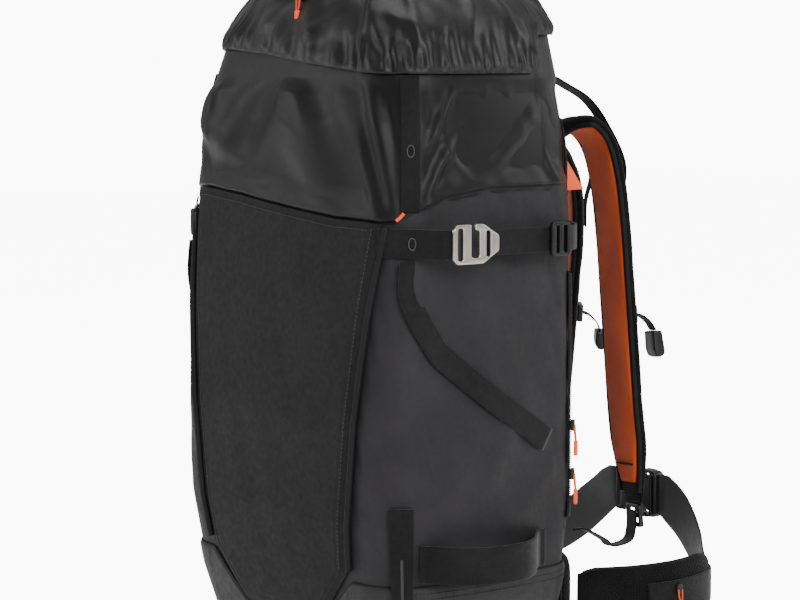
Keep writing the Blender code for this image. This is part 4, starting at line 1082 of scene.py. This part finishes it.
class StrapFrame:
    """Places on one strap: out from the line through its two anchors, and along that line."""

    def __init__(self, side, swing, reach):
        self.reach = reach / 80.0
        y = BAG_BACK + 0.6 + 18.0 + 0.9
        self.top = np.array([75.0 * side, y, 428.0])
        self.low = np.array([112.0 * side, y, 96.0])
        self.axis = unit(self.top - self.low)
        turn = math.radians(swing * side)
        start = np.array([0.0, 1.0, 0.0])
        start = (start * math.cos(turn) + np.cross(self.axis, start) * math.sin(turn)
                 + self.axis * np.dot(self.axis, start) * (1 - math.cos(turn)))
        self.out = unit(start)
        self.across = unit(np.cross(self.out, self.axis)) * side

    def place(self, w, r, h):
        """w across, r out from the line and h the height of its foot, as arrays."""
        h = np.asarray(h, float)[..., None]
        foot = self.low + (h - self.low[2]) / (self.top[2] - self.low[2]) * (self.top - self.low)
        r, w = (np.asarray(v, float)[..., None] for v in (r, w))
        return foot + self.out * r + self.across * w

    def path(self, route, per_span=8, scaled=True):
        """A smooth path in the strap's own plane through (r, h) places."""
        route = np.asarray(route, float) * ((self.reach, 1) if scaled else (1, 1))
        route = curve_through(route, per_span)
        return self.place(np.zeros(len(route)), route[:, 0], route[:, 1])

    def widths(self, path, full):
        """A point at the line, then wider by as much as it stands out, up to `full`."""
        return np.minimum(full, 2 * (0.8 + 0.95 * np.maximum((path - self.low) @ self.out, 0)))


def along_edge(path, across, shift, lift, normal):
    """A path moved sideways and along its normal."""
    return path + across * np.asarray(shift)[..., None] + normal * np.asarray(lift)[..., None]


print("places on a strap are given as across, out and up")

# %% [markdown]
# The near strap hangs a little outward and close to the back, and the far one inward and
# further out.  Both follow one route, scaled by how far each reaches.

# %% Padded straps with their lining and bound edges
STRAP_ROUTE = ((0, 426), (6, 426), (16, 429), (32, 434), (51, 432), (68, 416), (77, 385),
               (80, 340), (80, 290), (80, 240), (80, 190), (82, 150), (81, 114))
STRAPS = {}
for word, side, swing, reach in (("right", 1, -20.0, 56.0), ("left", -1, 36.0, 134.0)):
    harness = STRAPS[word] = StrapFrame(side, swing, reach)
    body = f"strap_{word}"
    path = harness.path(STRAP_ROUTE, 12)
    share = np.linspace(0, 1, len(path))
    width = harness.widths(path, np.interp(share, (0, 0.88, 1.0), (60, 60, 34)))
    thick = np.interp(share, (0, 0.1, 0.9, 1.0), (5, 12, 12, 6))
    along = directions(path)
    normal = np.cross(along, harness.across)
    inward = -np.sign(np.sum(normal * harness.out, axis=1))[len(path) // 2]
    belly = 1 - 0.10 * np.exp(-((np.arange(len(path)) % 26 - 13) / 2.0) ** 2)
    pad = strip(f"strap_cover_{word}", path, harness.across, width * 0.97, thick * belly, "spacer_mesh",
                body, PAD_EDGE)
    dress("mesh_foam", pad, stands_for=f"shoulder_strap_{word}")
    keep = slice(10, len(path) - 6)
    lined = along_edge(path, harness.across, np.zeros(len(path)), inward * (thick * 0.42), normal)[keep]
    taper = np.interp(share[keep], (0.86, 0.93, 0.985, 1.0), (1, 0.95, 0.72, 0.3))
    ruffle = 0.5 * np.sin(np.arange(len(lined)) / 3.4)[:, None] * np.cos(PAD_EDGE[:, 0] * 7)[None]
    lining = strip(f"strap_lining_{word}", lined, harness.across, np.maximum(width[keep] - 8, 1) * taper, 4.6,
                   "orange_lining", body, PAD_EDGE, rise=ruffle)
    w = np.linspace(-17, 17, 24)
    crease = harness.place(w, np.full_like(w, 82 * harness.reach - 7.2), np.full_like(w, 147.0))
    dress("strap_lining", tube(f"lining_seam_{word}", crease, 1.8, "binding", body))
    for end, edge_side in (("outer", 1), ("inner", -1)):
        line = along_edge(path, harness.across, edge_side * (width / 2 - 2.2), inward * thick * 0.30,
                          normal)[4:-3]
        dress("webbing", tube(f"strap_binding_{word}_{end}", line, 4.6, "binding", body))
    print(f"{word} strap: {distances(path[:, None], 0)[-1, 0]:.0f} mm along its padding")

# %% [markdown]
# The lower webbing runs from the ladder-lock back to the bag, and its loose turn shortens
# the strap.  The load lifter pulls the top of the strap towards the bag's rim.

# %% Ladder-locks, lower webbing and load lifters
for word, side in SIDES:
    harness = STRAPS[word]
    body = f"strap_{word}"
    reach = harness.reach
    r_end, h_end = 81.0 * reach, 114.0
    lock = harness.place(0.0, r_end, h_end - 10.6)
    ladder_lock(f"strap_lock_{word}", f"strap_ladder_{word}", lock, harness.axis, harness.across, body)
    under = r_end - 2.0 - 0.4 - 0.8
    run = ((under, h_end - 6), (under, h_end - 14), (under - 1.2, h_end - 22),
           (under - 8 * reach, h_end - 31), (under - 30 * reach, h_end - 34), (26, h_end - 28), (9, 96),
           (0, 96))
    path = harness.path(run, 10, False)
    web = strip(f"lower_webbing_{word}", path, harness.across, harness.widths(path, WEB), WEB_THICK,
                "webbing", body)
    dress("webbing", web, stands_for=f"strap_webbing_{word}")
    outer = 6 + 0.4 + 0.2 + 0.8
    run = ((0.0, 474), (6.0, 474), (28 * reach, 466), (55 * reach, 453), (76 * reach, 431),
           (79 * reach + outer + 3.0, 400), (79 * reach + outer + 0.6, 372), (80 * reach + outer, 350))
    path = harness.path(run, 10, False)
    web = strip(f"lifter_webbing_{word}", path, harness.across, harness.widths(path, WEB), WEB_THICK,
                "webbing", body)
    dress("webbing", web, stands_for=f"load_lifter_{word}")
    print(f"{word} load lifter: {distances(path[:, None], 0)[-1, 0]:.0f} mm")

# %% [markdown]
# The sternum strap is open.  Each half hangs from a slider that moves along its shoulder
# strap, and the near buckle half has a whistle moulded into it.

# %% Sternum strap: sliders, webbing, whistle buckle and plug
STERNUM_Z = 272.0
for word, side in SIDES:
    harness = STRAPS[word]
    body = f"sternum_{word}"
    r = 80 * harness.reach + 6.4
    seat = harness.place(0.0, r + 2.6, STERNUM_Z)
    loops = [oblong(0, 0, 15.5, 22, 3), oblong(-3.6, 0, 3.0, 15, 1.0), oblong(3.6, 0, 3.0, 15, 1.0)]
    slider = plate(f"sternum_slide_{word}", loops, 4.6, seat, harness.axis, harness.across, "black_acetal",
                   body, 0.8)
    dress("plastic", slider, stands_for=f"sternum_slider_{word}")
    start = r + 5.4
    path = harness.path([(start + a, STERNUM_Z + b) for a, b in ((0, 0), (6, -2), (13, -8), (17, -15))], 8,
                        False)
    web = strip(f"sternum_webbing_{word}", path, harness.across, 14.0, 1.4, "webbing", body)
    dress("webbing", web, stands_for=f"sternum_web_{word}")
    tail = harness.place(0.0, start + 17, STERNUM_Z - 15.6)
    node, deep = (("whistle_buckle", 22.0), ("sternum_plug", 16.0))[side < 0]
    shape = rounded(((-4, 0), (4, 0), (6, -deep + 4), (4, -deep), (-2, -deep), (-4, -deep + 6)), 2.0)
    block = plate(f"{node}_body", [shape], 20.0, tail, harness.out, harness.axis, "black_acetal", body, 1.2)
    dress("plastic", block, stands_for=node)
    tip = plate(f"{node}_mouthpiece", [oblong(1.0, -deep + 1.6, 4.6, 4.4, 1.2)], 13.0, tail, harness.out,
                harness.axis, "grey_acetal" if side > 0 else "black_acetal", body, 0.5)
    dress("plastic", tip)
print(f"sternum sliders {STERNUM_Z:.0f} mm up")

# %% [markdown]
# ## Hip belt
# The wings are foam in knitted spacer mesh, bound with tape, and curve forward to the belt's
# grey webbing.  The webbing is folded over and sewn along the wing before it leaves it.

# %% Wings, their bindings and webbing
WING_ROOT = np.array([120.8, 112.0])
WING_PLAN = ((0, 0), (11, 17), (23, 48), (26, 88), (15, 128), (-8, 156))
for word, side in SIDES:
    body = f"wing_{word}"
    plan = curve_through([(x + WING_ROOT[0], y + WING_ROOT[1], 35.0) for x, y in WING_PLAN], 14)
    share = np.linspace(0, 1, len(plan))
    height = np.interp(share, (0, 0.15, 0.75, 1), (52, 60, 60, 44))
    thick = np.interp(share, (0, 0.1, 0.9, 1), (9, 13.4, 13.4, 7))
    wing = strip(f"wing_pad_{word}", mirrored(plan, side), UP, height - 1.2, thick, "spacer_mesh", body,
                 PAD_EDGE)
    dress("mesh_foam", wing, stands_for=f"hip_wing_{word}")
    normal = np.cross(directions(plan), UP)
    outside = normal * np.sign(normal[len(plan) // 2, 0])
    for level, sign in (("top", 1), ("bottom", -1)):
        line = plan + UP * (sign * (height / 2 - 1.6))[:, None]
        dress("webbing", tube(f"wing_binding_{level}_{word}", mirrored(line, side)[3:-2], 4.4, "binding",
                              body))
    lie = (plan + outside * (thick / 2 + 0.3)[:, None])[30:-4]
    patch = strip(f"wing_webbing_{word}", mirrored(lie, side), UP, 30.0, 1.8, "webbing", body)
    heading = directions(plan)[-1]
    tip = plan[-1] + heading * 1.7
    run = [tip + heading * 5, tip + (-27, 19, 18), tip + (-52, 27, 40), tip + (-76, 28, 59)]
    end = run[-1] + (-8.0, 0.0, 0.0)
    belt = np.vstack([tip - heading * 16, tip - heading * 6, curve_through(run, 12), end])
    web = strip(f"belt_webbing_{word}", mirrored(belt, side), UP, 38.0, 2.0, "belt_webbing", body)
    dress("grey_webbing", web, stands_for=f"hip_webbing_{word}")
    if side > 0:
        shape = rounded(((-28.5, -18), (-20, -22), (-0.5, -21), (-0.5, 21), (-20, 22), (-28.5, 18)), 5)
        windows = [oblong(-15.5, y, 12, 4.0, 1.5) for y in (-17.5, 17.5)]
        loops = [shape, *windows, oblong(-4.6, 0, 3.4, 34, 1.2)]
        half = plate("belt_socket", loops, 12.0, end, (1, 0, 0), UP, "black_acetal", body, 2.0)
        dress("plastic", half, stands_for="hip_socket")
    else:
        shape = rounded(((0.5, -20), (12, -20), (13, -17.5), (24, -15), (24, -10), (15, -12), (15, -4),
                         (24, -3), (24, 3), (15, 4), (15, 12), (24, 10), (24, 15), (13, 17.5), (12, 20),
                         (0.5, 20)), 1.6)
        half = plate("belt_plug", [shape, oblong(5.2, 0, 3.4, 33, 1.2)], 6.0, end * (-1, 1, 1), (1, 0, 0), UP,
                     "black_acetal", body, 1.0)
        dress("plastic", half, stands_for="hip_plug")
    print(f"{word} wing: {distances(plan[:, None], 0)[-1, 0]:.0f} mm,",
          f"webbing {distances(belt[:, None], 0)[-1, 0]:.0f} mm")

# %% [markdown]
# ## Back padding
# The back is foam under spacer mesh, moulded with a channel for air, and the lumbar pad is a
# thicker block below it.  Both are sewn flat at the edge and crown towards the middle.

# %% Crowned pads


def crowned_pad(name, node, half, low, high, seat, depth, channel, quilts):
    """Thickness = depth * sqrt(1 - |u|^6) * sqrt(1 - |v|^n), less a channel and quilted lines.

    Corners are drawn in by |u|^8 and |v|^8, so the plan has round corners.
    """
    u, v = (np.sin(np.linspace(-1, 1, count) * math.pi / 2) for count in (110, 150))
    u, v = np.meshgrid(u, v)
    tall, middle = (high - low) / 2, (high + low) / 2
    x = half * u * (1 - 0.05 * np.abs(v) ** 10)
    z = middle + tall * v * (1 - 0.05 * half / tall * np.abs(u) ** 10)
    power = 6 * max(tall / half, 0.7)
    puff = np.sqrt(1 - 0.995 * np.abs(u) ** 6) * np.sqrt(1 - 0.995 * np.abs(v) ** power)
    groove = sum(1.8 * np.exp(-((z - level) / 2.0) ** 2) for level in quilts)
    air = channel * (1 - smoothstep(np.abs(x), 10, 17))
    rise = np.maximum(1.2 + (depth - 1.2) * puff - (groove + air) * puff, 1.0)
    flat = np.stack([x, np.full_like(x, seat), z], axis=-1)
    pad = slab(name, flat, flat + rise[..., None] * (0, 1, 0), "spacer_mesh", "bag")
    dress("mesh_foam", pad, stands_for=node)
    return pad


crowned_pad("back_mesh", "back_pad", 118.0, 86.0, 446.0, 95.6, 18.0, 8.0, (158, 230, 302, 374))
crowned_pad("lumbar_mesh", "lumbar_pad", 116.0, 12.0, 82.0, 97.4, 29.6, 6.0, ())
print("back and lumbar padding made")

# %% [markdown]
# The haul loop is a doubled band at the top of the back, to hang the pack from and to lift
# it by.  It comes to a point at each end, where it turns.

# %% Haul loop
HAUL_Z, WALL = 476.0, BAG_BACK + 0.8
run = [(-30, WALL, HAUL_Z), (-30, WALL + 8, HAUL_Z), (-27, WALL + 19, HAUL_Z - 3),
       (-16, WALL + 30, HAUL_Z - 7), (16, WALL + 30, HAUL_Z - 7), (27, WALL + 19, HAUL_Z - 3),
       (30, WALL + 8, HAUL_Z), (30, WALL, HAUL_Z)]
path = curve_through(run, 8)
loop = strip("haul_webbing", path, UP, np.minimum(18.0, 1.0 + 2 * (path[:, 1] - WALL)), 2.4, "webbing",
             "haul_handle")
dress("webbing", loop, stands_for="haul_loop")
print(f"haul loop: {distances(path[:, None], 0)[-1, 0]:.0f} mm of webbing")

# %% [markdown]
# ## Zips and pulls
# A coil zip is a tape with a spiral of nylon sewn along its middle.  Each slider carries a
# loop of orange cord with a moulded end, so that it can be found with gloves on.

# %% Tapes, coils and sliders


def zip_line(name, node, form, s, z, out):
    """Tape 9 mm wide with a coil, along (s, z) on a form."""
    path, outward = form.at(s, z, out), form.frame(s, z)[1]
    tape = strip(f"{name}_tape", path, np.cross(directions(path), outward), 9.0, 1.0, "binding",
                 FORM_BODY[form])
    coil = stitch_row(f"{name}_coil", path + outward * 0.7, outward, FORM_BODY[form], 1.7, 1.25, 1.5,
                      "black_acetal")
    dress("webbing", tape, stands_for=node)


def zip_pull(name, node, seat, out, body, long=24.0):
    """Slider block, a loop of cord and a moulded orange end hanging from it."""
    seat, out = np.asarray(seat, float), unit(out)
    side = np.cross(out, UP)
    block = plate(f"{name}_slider", [oblong(0, 0, 6.4, 9.5, 2.2)], 3.2, seat + out * 1.6, side, UP,
                  "black_acetal", body, 0.8)
    dress("plastic", block, stands_for=node)
    t = np.linspace(0, math.pi, 24)[:, None]
    loop = seat + out * (3.2 + 1.2 * np.sin(t)) + side * 2.1 * np.cos(t) - UP * long * 0.55 * np.sin(t) ** 0.6
    cord = tube(f"{name}_cord", loop, 1.5, "orange_tape", body)
    end = plate(f"{name}_grip", [oblong(0, 0, 5.4, 13.0, 2.4)], 3.0,
                seat + out * 4.2 - UP * (long * 0.55 + 5.5), side, UP, "orange_trim", body, 0.9)
    dress("orange_trim", cord, end)


print("zips and pulls can be made")

# %% [markdown]
# The rear zip opens the main bag beside the back padding, with two sliders.  The lid and
# the near hip wing have a small pocket each.

# %% The three zips
FORM_BODY = {BAG: "bag", LID: "lid"}
ZIP_S = 3.42
z = np.linspace(116, 318, 120)
zip_line("rear_zip", "back_zip", BAG, np.full_like(z, ZIP_S), z, 1.5)
for word, z in (("upper", 192.0), ("lower", 152.0)):
    zip_pull(f"rear_{word}", f"back_zip_slider_{word}", BAG.at(ZIP_S, z, 3.0), BAG.frame(ZIP_S, z)[1],
             f"zip_{word}")
s = np.linspace(0.08, 0.92, 120)
zip_line("lid_pocket", "lid_zip", LID, s, np.full_like(s, 541.0), 4.3)
zip_pull("lid_pocket", "lid_zip_slider", LID.at(0.5, 541.0, 5.4), (0, -1, 0), "lid_slider")
low, high = node_box("hip_zip_slider")
zip_pull("belt_pocket", "hip_zip_slider", (low[0], (low[1] + high[1]) / 2, high[2] - 4), (1, 0, 0),
         "hip_zip", 18.0)

print("four sliders on three zips")

# %% [markdown]
# A ring of stitching marks where each strap is tacked, and a folded orange tape ends the
# corner webbing.

# %% Ring marks and orange tabs
for word, side in SIDES:
    t = np.linspace(0, TAU, 40, endpoint=False)
    middle = BAG.at(CORNER_S, 419.0, 2.6)
    on_tab = np.array([149.6, -88.6, SKI_Z])
    for number, (centre, around) in enumerate(((middle, (0.62, 0.78, 0)), (on_tab, (0.55, 0.83, 0)))):
        ring = centre + np.cos(t)[:, None] * np.array(around) * 2.7 + np.sin(t)[:, None] * UP * 4.6
        dress("webbing", tube(f"ring_mark_{word}_{number}", mirrored(ring, side), 0.9, "ring_thread", "bag",
                              True))
    tab = BAG.at(np.array([1.43, 1.47, 1.51]), np.array([365.5, 368.0, 371.5]), 3.6)
    piece = strip(f"orange_tab_{word}", mirrored(curve_through(tab), side), UP, 2.6, 1.2, "orange_tape",
                  "bag")

print("ring marks and orange tabs on both sides")

# %% [markdown]
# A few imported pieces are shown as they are: the side tag, the frame inside the bag, the
# lid's liner and the lifters' buckles.  They only get their finishes.

# %% Finishes of the pieces that are shown as packed
KEPT = {"side_tag": "orange_trim", "frame_sheet": "frame_board", "frame_stay_right": "frame_bar",
        "frame_stay_left": "frame_bar", "lid_liner": "coated_nylon", "lifter_buckle_right": "black_acetal",
        "lifter_buckle_left": "black_acetal"}
for node, finish in KEPT.items():
    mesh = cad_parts[node].data
    mesh.materials.clear()
    mesh.materials.append(FINISH[finish])
print(len(KEPT), "packed pieces are shown as they are")

# %% [markdown]
# ## Floor, light and camera
# A pale floor and a pale world stand in for a studio sweep.  Both look nearly white, while
# the light that they give stays soft.

# %% Floor and sky
floor_mesh = bpy.data.meshes.new("studio_floor")
reach = 6.0
floor_mesh.from_pydata([(-reach, -reach, 0), (reach, -reach, 0), (reach, reach, 0), (-reach, reach, 0)], [],
                       [(0, 1, 2, 3)])
studio_floor = bpy.data.objects.new("studio_floor", floor_mesh)
bpy.context.scene.collection.objects.link(studio_floor)
paper = bpy.data.materials.new("paper_white")
paper.use_nodes = True
paper.node_tree.nodes["Principled BSDF"].inputs["Base Color"].default_value = (0.9, 0.9, 0.9, 1)
paper.node_tree.nodes["Principled BSDF"].inputs["Roughness"].default_value = 0.9
paper.node_tree.nodes["Principled BSDF"].inputs["Emission Color"].default_value = (1, 1, 1, 1)
floor_mesh.materials.append(paper)


def seen_brightness(tree, socket, lit, seen):
    """Feeds a strength: `lit` for the light it gives, `seen` where the camera looks at it."""
    rays = tree.nodes.new("ShaderNodeLightPath")
    brightness = tree.nodes.new("ShaderNodeMapRange")
    brightness.inputs["To Min"].default_value = lit
    brightness.inputs["To Max"].default_value = seen
    tree.links.new(rays.outputs["Is Camera Ray"], brightness.inputs["Value"])
    tree.links.new(brightness.outputs[0], socket)


seen_brightness(paper.node_tree, paper.node_tree.nodes["Principled BSDF"].inputs["Emission Strength"], 0.55,
                9.2)
world = bpy.data.worlds.new("pale_sky")
world.use_nodes = True
sky = world.node_tree
sky.nodes["Background"].inputs["Color"].default_value = (1.0, 1.0, 1.0, 1)
seen_brightness(sky, sky.nodes["Background"].inputs["Strength"], 0.62, 10.0)
bpy.context.scene.world = world
print("floor", 2 * reach, "m wide")

# %% [markdown]
# One large soft light from the right shows the side's folds, one from the left the front's.
# A weaker one behind lifts the dark edges, and one above lights the crown.

# %% Lamps


def soft_light(name, place, aim, size, power):
    """A square area light at `place`, turned to face `aim`."""
    light = bpy.data.lights.new(name, "AREA")
    light.size = size
    light.energy = power
    lamp = bpy.data.objects.new(name, light)
    lamp.location = place
    lamp.rotation_euler = (mathutils.Vector(aim)
                           - mathutils.Vector(place)).to_track_quat("-Z", "Y").to_euler()
    bpy.context.scene.collection.objects.link(lamp)


soft_light("key_light", (2.1, -0.8, 1.25), (0, 0, 0.35), 0.9, 52)
soft_light("left_light", (-1.5, -1.9, 1.0), (0, 0, 0.35), 0.7, 17)
soft_light("back_light", (1.2, 2.2, 1.3), (0, 0, 0.3), 1.2, 24)
soft_light("top_light", (0.0, 0.0, 2.3), (0, 0, 0.4), 1.4, 26)

print("four lamps")

# %% [markdown]
# A long lens from the front right shows the front panel, the near side and the lining of
# the near strap together.

# %% The camera
lens = bpy.data.cameras.new("camera")
lens.lens = 113.4
lens.sensor_width = 36.0
camera = bpy.data.objects.new("camera", lens)
camera.location = (1.655, -1.384, 0.497)
aim = mathutils.Vector((0.0087, -0.080, 0.288))
camera.rotation_euler = (aim - camera.location).to_track_quat("-Z", "Y").to_euler()
bpy.context.scene.collection.objects.link(camera)
bpy.context.scene.camera = camera

print("camera", round((aim - camera.location).length, 2), "m from what it looks at")
